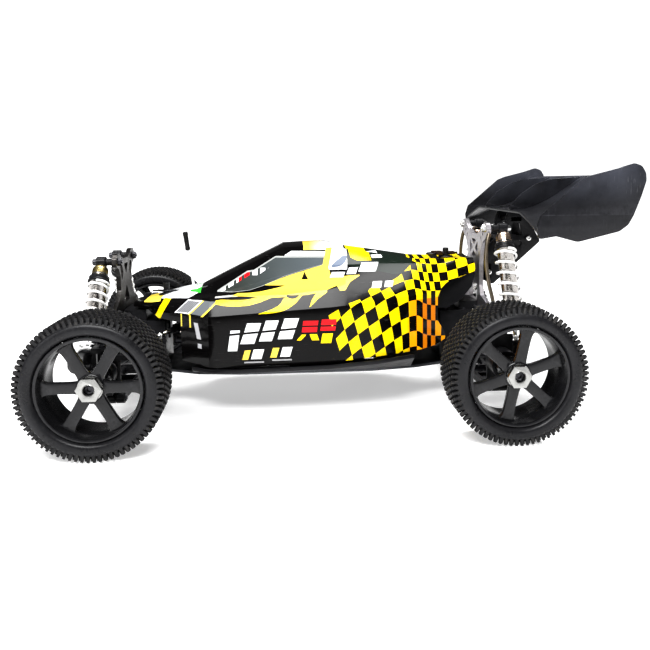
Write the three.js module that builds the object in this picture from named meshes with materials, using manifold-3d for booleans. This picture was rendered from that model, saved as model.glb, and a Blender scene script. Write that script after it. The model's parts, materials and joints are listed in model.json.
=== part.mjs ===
// 1/8-scale electric four-wheel-drive RC buggy, in millimetres.
// The nose points to -X, +Y is the car's right-hand side and +Z is up.
// The origin is the middle of the car's bounding box, on the ground.
import * as THREE from "three";
import { mergeVertices } from "three/addons/utils/BufferGeometryUtils.js";
import Module from "manifold-3d";

const wasm = await Module();
wasm.setup();

// ---------------------------------------------------------------- driving dimensions
// Inside the car group X is measured from the middle of the wheelbase.
const WHEELBASE = 325;
const TRACK = 262; // between the wheel centre planes
const FRAME_SHIFT_X = -30.4; // middle of the wheelbase to the origin
const AXLE_Z = 55.2; // also the rolling radius
const TYRE_WIDTH = 42;
const TYRE_BEAD_R = 38.8;
const RIM_LIP_R = 39.8;
const RIM_BORE_R = 36.6;
const RIM_HALF_WIDTH = 19.5;
const ROUND_SIDES = 24; // facets of a tyre or rim
const GAP = 0.4; // between touching pieces

// Suspension pivots of the right-hand side, as [y, z].
const ARM_INNER = [31, 42];
const ARM_OUTER = [97, 33];
const LINK_INNER = [42, 88];
const LINK_OUTER = [94, 84];
const DAMPER_FOOT = [88, 54];
const HUB_PLANE_Y = 96; // inner face of the uprights
const KINGPIN_Y = 107;
const LINK_OFFSET = 4.5; // the upper links lie this far inboard of the axles
const DIFF_Y = 27; // ball of a drive shaft in its diff cup

// What differs between the two ends of the car. dir points from the axle to the end's tower.
const FRONT = {
  name: "front", axleX: -WHEELBASE / 2, dir: -1, towerX: -168.5, damperX: -181, diffX: -150, damperEye: [29, 136],
};
const REAR = {
  name: "rear", axleX: WHEELBASE / 2, dir: 1, towerX: 168, damperX: 182, diffX: 152, damperEye: [38, 163],
};
const TOWER_THICK = 4;

// Chassis, body and drive line.
const CHASSIS_BOTTOM = 34.4;
const CHASSIS_THICK = 3;
const DECK_TOP = CHASSIS_BOTTOM + CHASSIS_THICK + GAP; // where parts stand on the plate
const SHELL_SKIN = 1.8;
const DRIVE_Z = 58;
const SPUR_X = 61;
const SPUR_R = 23; // pitch radius
const PINION_R = 7.5; // pitch radius
const MOTOR_Y = -(SPUR_R + PINION_R);
const MOTOR_R = 18;
const STEER_X = -92; // bellcrank posts
const STEER_Y = 18;
const DRAG_X = -112; // bellcrank pins in the drag link
const TIE_INNER = [-119, 12, 71.8];
const TIE_OUTER = [-134, 102, 76.4];
const ANTENNA_FOOT = [-100.3, 33, 38];
const ANTENNA_TIP = [-116, 33, 158];
const POST_FRONT_X = -130;
const POST_REAR_X = 138;
const WING_HALF_SPAN = 112;
const WING_FLAT = 66; // half the width of the wing's level middle

// ---------------------------------------------------------------- materials
const paint = (color, roughness, metalness = 0) => new THREE.MeshStandardMaterial({ color, roughness, metalness });
const mats = {
  blackPlastic: paint(0x17181a, 0.55),
  wheelPlastic: paint(0x101113, 0.45),
  rubber: paint(0x1b1b1c, 0.85),
  shellPaint: paint(0x1c1a10, 0.2),
  wingPlastic: paint(0x141416, 0.4),
  chassisMetal: paint(0x2a2c2f, 0.4, 0.8),
  towerMetal: paint(0x8d8f96, 0.35, 0.9),
  frontTowerMetal: paint(0x3c3e43, 0.35, 0.9),
  damperMetal: paint(0xc9c6bf, 0.25, 1.0),
  steel: paint(0xb9bcc0, 0.25, 1.0),
  springPaint: paint(0xf2f2f0, 0.35),
  motorMetal: paint(0x30343a, 0.3, 0.9),
  gearSteel: paint(0x6c6f73, 0.35, 0.9),
  batteryWrap: paint(0x23262c, 0.5),
};

// ---------------------------------------------------------------- solid helpers
// A closed three.js geometry as a manifold-3d solid.
function solid(geometry) {
  const bare = new THREE.BufferGeometry().setAttribute("position", geometry.getAttribute("position"));
  if (geometry.index) bare.setIndex(geometry.index);
  const merged = mergeVertices(bare, 1e-4);
  const index = merged.index.array;
  const kept = [];
  for (let i = 0; i < index.length; i += 3) {
    const [a, b, c] = [index[i], index[i + 1], index[i + 2]];
    if (a !== b && b !== c && c !== a) kept.push(a, b, c);
  }
  const make = (triVerts) =>
    new wasm.Manifold(new wasm.Mesh({ numProp: 3, vertProperties: merged.attributes.position.array, triVerts }));
  const made = make(new Uint32Array(kept));
  if (made.volume() > 0) return made;
  for (let i = 0; i < kept.length; i += 3) [kept[i + 1], kept[i + 2]] = [kept[i + 2], kept[i + 1]];
  return make(new Uint32Array(kept));
}

function geometryOf(body) {
  const mesh = body.getMesh();
  const geometry = new THREE.BufferGeometry();
  geometry.setAttribute("position", new THREE.BufferAttribute(new Float32Array(mesh.vertProperties), 3));
  geometry.setIndex(new THREE.BufferAttribute(new Uint32Array(mesh.triVerts), 1));
  const flat = geometry.toNonIndexed();
  flat.computeVertexNormals();
  return flat;
}

const join = (...bodies) => bodies.reduce((whole, next) => whole.add(next));
const cut = (body, ...tools) => tools.reduce((left, tool) => left.subtract(tool), body);

function box(x0, x1, y0, y1, z0, z1) {
  const geometry = new THREE.BoxGeometry(x1 - x0, y1 - y0, z1 - z0);
  return solid(geometry.translate((x0 + x1) / 2, (y0 + y1) / 2, (z0 + z1) / 2));
}

// A LatheGeometry of [radius, distance] points about the line from `start` along `direction`.
function turned(points, start, direction, sides, phase = 0) {
  const geometry = new THREE.LatheGeometry(points.map(([r, h]) => new THREE.Vector2(r, h)), sides, phase);
  const toAxis = new THREE.Quaternion().setFromUnitVectors(
    new THREE.Vector3(0, 1, 0), new THREE.Vector3(...direction).normalize());
  return solid(geometry.applyQuaternion(toAxis).translate(...start));
}

function rod(from, to, radius, sides = 10) {
  const span = new THREE.Vector3(...to).sub(new THREE.Vector3(...from));
  const profile = [[0, 0], [radius, 0], [radius, span.length()], [0, span.length()]];
  return turned(profile, from, span.toArray(), sides);
}

const ball = (centre, radius) => solid(new THREE.SphereGeometry(radius, 8, 5).translate(...centre));

// Flat plates: an outline of [u, v] points pushed along one axis.
function outlineShape(outline, holes = []) {
  const shape = new THREE.Shape(outline.map(([u, v]) => new THREE.Vector2(u, v)));
  for (const hole of holes) shape.holes.push(new THREE.Path(hole.map(([u, v]) => new THREE.Vector2(u, v))));
  return shape;
}

function extruded(outline, holes, low, high, basis) {
  const settings = { depth: high - low, bevelEnabled: false, steps: 1 };
  const geometry = new THREE.ExtrudeGeometry(outlineShape(outline, holes), settings);
  return solid(geometry.translate(0, 0, low).applyMatrix4(basis));
}

const axes = (x, y, z) => new THREE.Matrix4().makeBasis(
  new THREE.Vector3(...x), new THREE.Vector3(...y), new THREE.Vector3(...z));
const plateX = (yz, x0, x1, holes) => extruded(yz, holes, x0, x1, axes([0, 1, 0], [0, 0, 1], [1, 0, 0]));
const plateY = (xz, y0, y1, holes) => extruded(xz, holes, -y1, -y0, axes([1, 0, 0], [0, 0, 1], [0, -1, 0]));
const plateZ = (xy, z0, z1, holes) => extruded(xy, holes, z0, z1, axes([1, 0, 0], [0, 1, 0], [0, 0, 1]));

// A right-hand half outline [y, z], first and last on or near y = 0, mirrored to a whole one.
const mirrored = (half) => [...half, ...half.filter(([y]) => y > 0).reverse().map(([y, z]) => [-y, z])];

// A solid through closed loops of [x, y, z] points, with flat ends.
function loft(loops) {
  const count = loops[0].length;
  const position = loops.flat(2);
  const index = [];
  for (let i = 0; i + 1 < loops.length; i++)
    for (let j = 0; j < count; j++) {
      const [a, b] = [i * count + j, i * count + ((j + 1) % count)];
      index.push(a, b, b + count, a, b + count, a + count);
    }
  const spread = (loop, axis) => Math.max(...loop.map((p) => p[axis])) - Math.min(...loop.map((p) => p[axis]));
  const flatAxis = [0, 1, 2].sort((p, q) => spread(loops[0], p) - spread(loops[0], q))[0];
  const across = [0, 1, 2].filter((axis) => axis !== flatAxis);
  for (const end of [0, loops.length - 1]) {
    const contour = loops[end].map((p) => new THREE.Vector2(p[across[0]], p[across[1]]));
    let area = 0;
    contour.forEach((p, k) => (area += p.cross(contour[(k + 1) % count])));
    for (const [a, b, c] of THREE.ShapeUtils.triangulateShape(area > 0 ? contour : [...contour].reverse(), [])) {
      // The cap's winding has to be opposite to its neighbouring side faces.
      const at = (k) => end * count + (area > 0 ? k : count - 1 - k);
      const forward = (area > 0) === (end === 0);
      index.push(...(forward ? [at(c), at(b), at(a)] : [at(a), at(b), at(c)]));
    }
  }
  const geometry = new THREE.BufferGeometry().setAttribute(
    "position", new THREE.BufferAttribute(new Float32Array(position), 3));
  return solid(geometry.setIndex(index));
}

// ---------------------------------------------------------------- scene graph
const car = new THREE.Group();
car.position.x = FRAME_SHIFT_X;

function add(name, body, material) {
  const mesh = new THREE.Mesh(geometryOf(body), material);
  mesh.name = name;
  car.add(mesh);
  return mesh;
}

// The same solid on both sides of the car: drawn on the right, mirrored to the left.
function addPair(name, body, material) {
  add(`${name}_right`, body, material);
  add(`${name}_left`, body, material).scale.y = -1;
}

// ---------------------------------------------------------------- wheels
function tyre(end) {
  const half = [
    [TYRE_BEAD_R, 16.6], [TYRE_BEAD_R + 1.5, 17], [42, 20], [45.5, TYRE_WIDTH / 2],
    [49, 20.8], [53, 19.4], [1, 16.5],
  ];
  const crown = AXLE_Z / Math.cos(Math.PI / ROUND_SIDES); // the facets' flats stand on the ground
  half[half.length - 1][0] = crown;
  const profile = [...half, ...half.map(([r, y]) => [r, -y]).reverse()];
  profile.push(profile[0]);
  const flatDown = Math.PI / ROUND_SIDES;
  return turned(profile, [end.axleX, TRACK / 2, AXLE_Z], [0, 1, 0], ROUND_SIDES, flatDown);
}

function wheel(end, spokeTurn) {
  const centre = [end.axleX, TRACK / 2, AXLE_Z];
  const rim = turned([
    [RIM_BORE_R, 16], [37.2, RIM_HALF_WIDTH], [RIM_LIP_R, RIM_HALF_WIDTH], [RIM_LIP_R, 17.4], [38.2, 17.4],
    [38.2, -17.4], [RIM_LIP_R, -17.4], [RIM_LIP_R, -19], [RIM_BORE_R, -19], [RIM_BORE_R, 16],
  ], centre, [0, 1, 0], ROUND_SIDES);
  // Axle, drive hex and hub boss, measured outwards from the centre plane.
  const hub = turned([
    [0, -30.5], [5, -30.5], [5, -14.4], [8.6, -14.4], [8.6, -8.5], [10, -8.5], [10, 13.5], [4, 13.5], [4, 20],
    [0, 20],
  ], centre, [0, 1, 0], 12);
  const spokes = [];
  for (let i = 0; i < 6; i++) {
    const angle = spokeTurn + (i * Math.PI) / 3;
    const outline = [[7, -4.4], [31, -4.4], [37, -7], [37, 7], [31, 4.4], [7, 4.4]];
    const spoke = plateZ(outline, 8, 12.5);
    // Lay the spoke in the wheel's plane: its length radial, its thickness along the axle.
    const place = new THREE.Matrix4().makeTranslation(...centre)
      .multiply(new THREE.Matrix4().makeRotationY(angle))
      .multiply(axes([1, 0, 0], [0, 0, -1], [0, 1, 0]));
    spokes.push(solid(geometryOf(spoke).applyMatrix4(place)));
  }
  return join(rim, hub, ...spokes);
}

// ---------------------------------------------------------------- suspension
// Turns a solid made flat along +Y, with its inner pivot at the origin, into place from one pivot to the other.
function betweenPivots(body, x, inner, outer) {
  const tilt = Math.atan2(outer[1] - inner[1], outer[0] - inner[0]);
  const place = new THREE.Matrix4().makeTranslation(x, ...inner).multiply(new THREE.Matrix4().makeRotationX(tilt));
  return solid(geometryOf(body).applyMatrix4(place));
}

function lowerArm(end) {
  const length = Math.hypot(ARM_OUTER[0] - ARM_INNER[0], ARM_OUTER[1] - ARM_INNER[1]);
  const tilt = Math.atan2(ARM_OUTER[1] - ARM_INNER[1], ARM_OUTER[0] - ARM_INNER[0]);
  const [dy, dz] = [DAMPER_FOOT[0] - ARM_INNER[0], DAMPER_FOOT[1] - ARM_INNER[1]];
  const footY = dy * Math.cos(tilt) + dz * Math.sin(tilt);
  const footZ = dz * Math.cos(tilt) - dy * Math.sin(tilt);
  const footX = end.damperX - end.axleX;
  const lugOuter = footX - end.dir * 4.7;
  const lugInner = lugOuter - end.dir * 5;
  const outline = [[-22, 0], [22, 0], [14, length - 8], [-14, length - 8]];
  const webs = [-14, 7].map((x) => box(x, x + 7, length - 12, length, -3.5, 3.5));
  const ears = [-14, 7].map((x) => rod([x, length, 0], [x + 7, length, 0], 4.6));
  const lug = box(Math.min(lugOuter, lugInner), Math.max(lugOuter, lugInner), footY - 3.3, footY + 3.3, 0, footZ + 4);
  const arm = join(
    rod([-23, 0, 0], [23, 0, 0], 4.8), plateZ(outline, -3.5, 3), ...webs, ...ears, lug);
  return betweenPivots(arm, end.axleX, ARM_INNER, ARM_OUTER);
}

// The upper link lies on the car's side of the tower plate.
function upperLink(end) {
  const x = end.axleX - end.dir * LINK_OFFSET;
  const eye = ([y, z]) => rod([x - 3.5, y, z], [x + 3.5, y, z], 4.4);
  return join(rod([x, ...LINK_INNER], [x, ...LINK_OUTER], 2.2, 8), eye(LINK_INNER), eye(LINK_OUTER));
}

// What the front and rear uprights share: an inner web, the lower lug and the upper link's tab.
function upright(end) {
  const x = end.axleX;
  const [lugY, lugZ] = ARM_OUTER;
  const [tabY, tabZ] = LINK_OUTER;
  const tabX = end.dir < 0 ? [x - 6, x + 0.3] : [x - 0.3, x + 6];
  return join(
    rod([x - 6.2, lugY, lugZ], [x + 6.2, lugY, lugZ], 4.8),
    box(x - 6.2, x + 6.2, HUB_PLANE_Y, HUB_PLANE_Y + 4, lugZ, lugZ + 8),
    box(x - 11, x + 11, HUB_PLANE_Y, HUB_PLANE_Y + 2.4, lugZ + 6, 77.5),
    box(...tabX, tabY - 3.6, HUB_PLANE_Y + 2.4, 73.5, tabZ + 4));
}

const shaftWindow = (end) => rod([end.axleX, HUB_PLANE_Y - 5, AXLE_Z], [end.axleX, HUB_PLANE_Y + 5, AXLE_Z], 9, 14);

function caster(end) {
  const x = end.axleX;
  const flange = (z0, z1) => box(x - 7.5, x + 7.5, HUB_PLANE_Y, KINGPIN_Y + 6, z0, z1);
  return cut(join(upright(end), flange(39.2, 42.8), flange(73.5, 77.5)), shaftWindow(end));
}

const bearingBore = (end) => rod([end.axleX, 95, AXLE_Z], [end.axleX, 120, AXLE_Z], 5.5, 14);

function knuckle(end) {
  const x = end.axleX;
  const [ballX, ballY, ballZ] = TIE_OUTER;
  const armTop = ballZ - 6;
  const steeringArm = plateZ([
    [x, 103.6], [x + 13, 103.6], [ballX - 4, ballY - 3.4], [ballX + 3, ballY - 3.4], [ballX + 3, ballY + 3],
    [x + 14, 109.5], [x, 109.5],
  ], armTop - 4, armTop);
  const body = join(
    rod([x, KINGPIN_Y, 43.3], [x, KINGPIN_Y, 73], 5, 10),
    rod([x, 103, AXLE_Z], [x, 115.6, AXLE_Z], 10, 16), steeringArm);
  return cut(body, bearingBore(end));
}

function rearHub(end) {
  const x = end.axleX;
  const housing = rod([x, HUB_PLANE_Y, AXLE_Z], [x, 115.6, AXLE_Z], 12, 16);
  return cut(join(upright(end), housing), bearingBore(end), shaftWindow(end));
}

function driveShaft(end) {
  const inner = [end.diffX, DIFF_Y, AXLE_Z];
  const outer = [end.axleX, 92.5, AXLE_Z];
  return join(rod(inner, outer, 2.6, 8), ball(inner, 4.3), ball(outer, 4.8));
}

// ---------------------------------------------------------------- dampers
const DAMPER_CAP = 11; // from the eye to the cap's top edge
const COLLAR_AT = 21;
const FOOT_STACK = 14; // from the foot eye to the spring's lower seat

function damperLine(end) {
  const top = new THREE.Vector3(end.damperX, ...end.damperEye);
  const foot = new THREE.Vector3(end.damperX, ...DAMPER_FOOT);
  const along = foot.clone().sub(top);
  return { top: top.toArray(), foot: foot.toArray(), length: along.length(), along: along.normalize().toArray() };
}

function damperBody(end) {
  const { top, length, along } = damperLine(end);
  const bodyEnd = length - FOOT_STACK - 28;
  const tube = turned([
    [2.6, DAMPER_CAP + 3], [0, DAMPER_CAP], [0, 4], [4, 4], [5.5, 7], [8.4, 7], [8.6, DAMPER_CAP + 3],
    [7.4, DAMPER_CAP + 4], [7.4, COLLAR_AT - 3.5], [9.4, COLLAR_AT - 3.5], [9.4, COLLAR_AT], [7.4, COLLAR_AT],
    [7.4, bodyEnd], [2.6, bodyEnd], [2.6, DAMPER_CAP + 3],
  ], top, along, 12);
  const eye = rod([top[0] - 4, top[1], top[2]], [top[0] + 4, top[1], top[2]], 5, 10);
  return join(tube, eye);
}

function damperShaft(end) {
  const { top, foot, length, along } = damperLine(end);
  const shaftTop = length - FOOT_STACK - 36;
  const stem = turned([
    [0, shaftTop], [1.8, shaftTop], [1.8, length - FOOT_STACK], [9.2, length - FOOT_STACK],
    [9.2, length - FOOT_STACK + 2.4], [4.4, length - FOOT_STACK + 3.4], [4.2, length - 3], [0, length - 3],
  ], top, along, 12);
  const eye = rod([foot[0] - 4, foot[1], foot[2]], [foot[0] + 4, foot[1], foot[2]], 5, 10);
  return join(stem, eye);
}

function spring(end) {
  const { top, length, along } = damperLine(end);
  const [from, to] = [COLLAR_AT + GAP, length - FOOT_STACK - GAP];
  return turned([[7.9, from], [9.4, from], [9.4, to], [7.9, to], [7.9, from]], top, along, 16);
}

for (const end of [FRONT, REAR]) {
  const label = (piece) => `${end.name}_${piece}`;
  addPair(label("lower_arm"), lowerArm(end), mats.blackPlastic);
  addPair(label("upper_link"), upperLink(end), mats.steel);
  addPair(label("drive_shaft"), driveShaft(end), mats.gearSteel);
  addPair(label("damper_body"), damperBody(end), mats.damperMetal);
  addPair(label("damper_shaft"), damperShaft(end), mats.steel);
  addPair(label("spring"), spring(end), mats.springPaint);
  addPair(label("wheel"), wheel(end, end === FRONT ? 0 : -Math.PI / 10), mats.wheelPlastic);
  addPair(label("tyre"), tyre(end), mats.rubber);
}
addPair("front_caster_block", caster(FRONT), mats.blackPlastic);
addPair("front_steering_knuckle", knuckle(FRONT), mats.blackPlastic);
addPair("rear_hub_carrier", rearHub(REAR), mats.blackPlastic);

// ---------------------------------------------------------------- towers and gearboxes
function frontTower() {
  const half = [
    [0, 64], [24, 64], [34, 78], [46, 83], [47, 93], [29, 100], [22, 109], [22, 122], [27, 129], [35, 132],
    [36, 139], [31, 143], [23, 143], [16, 139], [8, 137], [0, 137],
  ];
  const triangles = [
    [[-8, 132], [8, 132], [0, 122]], [[16, 133], [23, 131], [17, 117], [11, 124]],
    [[-16, 133], [-11, 124], [-17, 117], [-23, 131]], [[-12, 96], [12, 96], [0, 112]],
  ];
  const [x0, x1] = [FRONT.towerX - TOWER_THICK / 2, FRONT.towerX + TOWER_THICK / 2];
  const linkFace = FRONT.axleX + LINK_OFFSET - 3.5 - GAP; // where the upper link's eye is bolted on
  const [linkY, linkZ] = LINK_INNER;
  const boss = (side) => rod([x0 + 1, side * linkY, linkZ], [linkFace, side * linkY, linkZ], 3.4);
  return join(plateX(mirrored(half), x0, x1, triangles), boss(1), boss(-1));
}

function rearTower() {
  const half = [
    [0, 62], [26, 62], [33, 77], [47, 83], [47, 94], [25, 99], [21, 108], [20, 128], [22, 140], [29, 149],
    [41, 155], [44, 162], [40, 168], [33, 168], [20, 159], [8, 155.5], [0, 155],
  ];
  const triangles = [
    [[-9, 150.5], [9, 150.5], [0, 144.5]], [[13, 149], [14, 135], [3.5, 142]],
    [[-13, 149], [-3.5, 142], [-14, 135]], [[-9, 133.5], [0, 139.5], [9, 133.5]],
    [[-14, 92], [14, 92], [14, 108], [-14, 108]],
  ];
  const [x0, x1] = [REAR.towerX - TOWER_THICK / 2, REAR.towerX + TOWER_THICK / 2];
  return plateX(mirrored(half), x0, x1, triangles);
}

// Differential housing, the two hinge-pin holders of the lower arms, the diff cups and the body post.
function gearbox(end, housing, postX, postTop) {
  const s = end.dir;
  const face = end.towerX - s * (TOWER_THICK / 2 + GAP); // where the tower is screwed on
  const back = end.axleX - s * 34;
  const xs = (a, b) => [Math.min(a, b), Math.max(a, b)];
  const [pivotY, pivotZ] = ARM_INNER;
  const holder = (at) => box(...xs(at, at + s * 4), -pivotY - 5, pivotY + 5, pivotZ - 2.6, pivotZ + 6);
  const cup = (side) => rod([end.diffX, side * 18, AXLE_Z], [end.diffX, side * 33, AXLE_Z], 7, 12);
  const cupBore = (side) => rod([end.diffX, side * 21.5, AXLE_Z], [end.diffX, side * 36, AXLE_Z], 5.5, 12);
  const whole = join(
    box(...xs(face, back), -20, 20, DECK_TOP, housing.low),
    box(...xs(face, end.diffX - s * 4), -17, 17, 50, housing.high),
    box(...xs(end.axleX + s * 28, back), -18, 18, DECK_TOP, 50),
    holder(end.axleX + s * 24), holder(end.axleX - s * 28),
    rod([postX, 0, 70], [postX, 0, postTop], 2.8, 10), cup(1), cup(-1));
  return cut(whole, cupBore(1), cupBore(-1));
}

add("front_shock_tower", frontTower(), mats.frontTowerMetal);
add("rear_shock_tower", rearTower(), mats.towerMetal);
add("front_gearbox", gearbox(FRONT, { low: 80, high: 90 }, POST_FRONT_X, 113), mats.blackPlastic);
add("rear_gearbox", gearbox(REAR, { low: 84, high: 92 }, POST_REAR_X, 142), mats.blackPlastic);

// ---------------------------------------------------------------- chassis
function chassisPlate() {
  const half = [
    [-194, 16], [-186, 24], [-134, 26], [-126, 28], [-96, 42], [-60, 47], [60, 47], [100, 40], [128, 29],
    [134, 26], [184, 26], [194, 18],
  ];
  const plan = [...half.map(([x, y]) => [x, -y]), ...[...half].reverse()];
  const spurSlot = box(SPUR_X - 5.5, SPUR_X + 5.5, -12.5, 12.5, CHASSIS_BOTTOM - 1, DECK_TOP);
  return cut(plateZ(plan, CHASSIS_BOTTOM, CHASSIS_BOTTOM + CHASSIS_THICK), spurSlot);
}

// A side guard is a shallow gutter from the chassis edge out under the shell's hem.
function sideGuard() {
  const stations = [
    [-100, 42, 60, 46.4], [-84, 44.5, 70, 46.4], [-60, 47.5, 75, 46.8], [20, 47.5, 75, 48.6], [62, 47.5, 73, 51.4],
    [96, 41.5, 64, 53.6],
  ];
  const lip = 2.2;
  return loft(stations.map(([x, inner, outer, hem]) => [
    [x, inner, DECK_TOP + 0.2], [x, inner, DECK_TOP + 2.8], [x, outer - lip, hem - 2], [x, outer - lip, hem],
    [x, outer, hem], [x, outer, hem - 3.4], [x, inner + 4, DECK_TOP + 0.2],
  ]));
}

const frontBumper = () => plateY([
  [-195, 40.5], [-195, 50], [-206, 53], [-213, 49], [-215, 43], [-209, 38], [-198, 37.5],
], -42, 42).intersect(plateZ([
  [-190, -30], [-190, 30], [-205, 42], [-213, 36], [-216, 14], [-216, -14], [-213, -36], [-205, -42],
], 30, 60));

add("chassis_plate", chassisPlate(), mats.chassisMetal);
addPair("side_guard", sideGuard(), mats.blackPlastic);
add("front_bumper", frontBumper(), mats.blackPlastic);

// ---------------------------------------------------------------- body shell
// Right-hand half sections [y, z]: centre, roof edge, belt, shoulder and crease. The wall drops from the crease.
const SECTIONS = [
  { x: -157, half: [[0, 97], [12, 97], [14, 96.6], [15, 96], [16, 95]] },
  { x: -135, half: [[0, 101], [19, 100.6], [24, 100], [28, 98.5], [32, 95.5]] },
  { x: -118, half: [[0, 105.5], [23, 105], [29, 103.5], [36, 99], [42, 92]] },
  { x: -110, half: [[0, 107], [24, 106.5], [31, 104.5], [39, 100], [46.5, 90.5]] },
  { x: -99, half: [[0, 109.5], [26, 108], [34, 105.5], [43, 103], [55, 91]] },
  { x: -84, half: [[0, 117], [27, 115.5], [36, 107], [46, 105.5], [69, 92]] },
  { x: -76, half: [[0, 121], [27, 119.5], [37, 108], [46, 106], [70, 92.5]] },
  { x: -20, half: [[0, 148], [27, 147], [39, 123], [50, 107], [70, 96]] },
  { x: 22, half: [[0, 149.5], [28, 149], [40, 131], [50, 111], [70, 98.5]] },
  { x: 36, half: [[0, 141], [21, 144.5], [38, 131.5], [50, 115], [70, 100]] },
  { x: 60, half: [[0, 137], [20, 141], [34, 131.5], [44, 121.5], [68, 102]] },
  { x: 105, half: [[0, 131], [20, 134], [28, 130.5], [36, 123.5], [55, 106]] },
  { x: 120, half: [[0, 131.5], [20, 133.5], [27, 130], [33, 123], [46, 107]] },
  { x: 131, half: [[0, 132], [20, 133.5], [26, 130], [32, 123.5], [42, 109]] },
  { x: 160, half: [[0, 133], [19, 134], [22, 132], [25, 129], [30, 121]] },
];
const WALL_FOOT_Z = 44;

// The shell's lower edge in side view, closed well above the roof.
const SIDE_VIEW = [
  [-160, 170], [-160, 93], [-147, 93], [-141, 91.5], [-132, 85.5], [-111, 83], [-110, 49], [-77, 47.5], [20, 49.6],
  [58, 53], [97, 55], [119, 57.5], [128, 62], [128.5, 67], [120.5, 80], [120.5, 101], [124, 109], [130, 113.5],
  [159, 122.5], [163, 130], [163, 170],
];

function shellLoops(skin, footZ) {
  return SECTIONS.map(({ x, half }, i) => {
    const inset = half.map(([y, z]) => [y === 0 ? 0 : y - skin, z - skin]);
    const right = [...inset, [inset[4][0], footZ]];
    const left = right.filter(([y]) => y > 0).reverse().map(([y, z]) => [-y, z]);
    const ends = { 0: skin, [SECTIONS.length - 1]: skin };
    const shift = i === 0 ? ends[0] : i === SECTIONS.length - 1 ? ends[i] : 0;
    return [...right, ...left].map(([y, z]) => [x + shift, y, z]);
  });
}

function bodyShell() {
  const outer = loft(shellLoops(0, WALL_FOOT_Z)).intersect(plateY(SIDE_VIEW, -80, 80));
  const inner = loft(shellLoops(SHELL_SKIN, WALL_FOOT_Z - 10));
  const antennaHole = rod([-109.5, ANTENNA_FOOT[1], 80], [-109.5, ANTENNA_FOOT[1], 120], 3.4, 12);
  const postHole = (x, z) => rod([x, 0, z - 20], [x, 0, z + 20], 4.6, 12);
  return cut(outer, inner, antennaHole, postHole(POST_FRONT_X, 103), postHole(POST_REAR_X, 133));
}

add("body_shell", bodyShell(), mats.shellPaint);

// ---------------------------------------------------------------- wing
const CHORD = [[189, 180], [205, 181.5], [222, 188], [240, 199], [257.5, 211]]; // centre and fins
const TIP_CHORD = [[188, 165], [204, 170], [223, 180], [242, 193], [259, 209]];
const WING_THICK = 2.4;

function wing() {
  const loop = (chord, y) => [
    ...chord.map(([x, z]) => [x, y, z]), ...[...chord].reverse().map(([x, z]) => [x, y, z - WING_THICK])];
  const sheet = loft([
    loop(TIP_CHORD, -WING_HALF_SPAN), loop(CHORD, -WING_FLAT), loop(CHORD, WING_FLAT),
    loop(TIP_CHORD, WING_HALF_SPAN)]);
  const fin = [
    [188, 179], [189.5, 184], [213, 203.4], [226, 207.6], [257.5, 210], [256, 206], [222, 186], [204, 179.5],
  ];
  const endPlate = [
    [190, 178.5], [187, 169], [188.2, 158.8], [203, 161.2], [221.3, 156.2], [244.8, 161.8], [256.5, 164.6],
    [264, 170], [268.4, 178], [274.4, 193.7], [278.5, 206.1], [277.6, 212.4], [274, 218.2], [268, 220.5],
    [254.6, 216.4], [232, 210.8], [224, 207.6],
  ];
  const plates = [-1, 1].flatMap((side) => {
    const at = (y) => [Math.min(side * y, side * (y + 2)), Math.max(side * y, side * (y + 2))];
    return [plateY(endPlate, ...at(WING_HALF_SPAN - 1)), plateY(fin, ...at(36))];
  });
  return join(sheet, ...plates);
}

function wingMount() {
  const side = [
    [171, 112], [180, 108], [208, 133], [226, 149], [213, 171], [209.5, 177.6], [194, 177], [190, 160], [178, 148],
    [171, 146],
  ];
  return join(plateY(side, 14, 18), plateY(side, -18, -14), box(170.6, 178, -18, 18, 112, 128),
    box(197, 207, -18, 18, 168, 172));
}

add("rear_wing", wing(), mats.wingPlastic);
add("wing_mount", wingMount(), mats.blackPlastic);

// ---------------------------------------------------------------- drive line and electrics
function centreDrive() {
  return turned([
    [0, -122], [4.5, -122], [4.5, -112], [2.5, -110], [2.5, 44], [6, 46], [6, SPUR_X - 8], [7.5, SPUR_X - 8],
    [7.5, SPUR_X - 4], [SPUR_R - 0.4, SPUR_X - 4], [SPUR_R - 0.4, SPUR_X + 4], [16, SPUR_X + 4.5], [16, SPUR_X + 20],
    [6, SPUR_X + 21], [6, SPUR_X + 30], [2.5, SPUR_X + 32], [2.5, 112], [4.5, 114], [4.5, 125], [0, 125],
  ], [0, 0, DRIVE_Z], [1, 0, 0], 16);
}

function motor() {
  return turned([
    [0, -10], [15, -10], [MOTOR_R, -7], [MOTOR_R, 50], [15, 53], [4, 53], [4, 55.4], [0, 55.4],
  ], [0, MOTOR_Y, DRIVE_Z], [1, 0, 0], 20);
}

const pinion = () => turned([
  [0, 56], [6, 56], [6, SPUR_X - 4], [PINION_R - 0.4, SPUR_X - 4], [PINION_R - 0.4, SPUR_X + 4], [0, SPUR_X + 4],
], [0, MOTOR_Y, DRIVE_Z], [1, 0, 0], 14);

const battery = () => box(-80, 52, 7.4, 44, DECK_TOP, 72);

// One moulded tray with the steering servo, the receiver box and the speed controller seated in it.
const radioTray = () => join(
  box(-80, -14, -44, -7, DECK_TOP, DECK_TOP + 3), box(-78, -44, -33, -9, DECK_TOP, 66),
  box(-78, -44, -44, -33, DECK_TOP, 60), box(-42, -16, -44, -9, DECK_TOP, 68));

add("centre_drive", centreDrive(), mats.gearSteel);
add("motor", motor(), mats.motorMetal);
add("pinion", pinion(), mats.gearSteel);
add("battery", battery(), mats.batteryWrap);
add("radio_tray", radioTray(), mats.blackPlastic);

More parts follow.
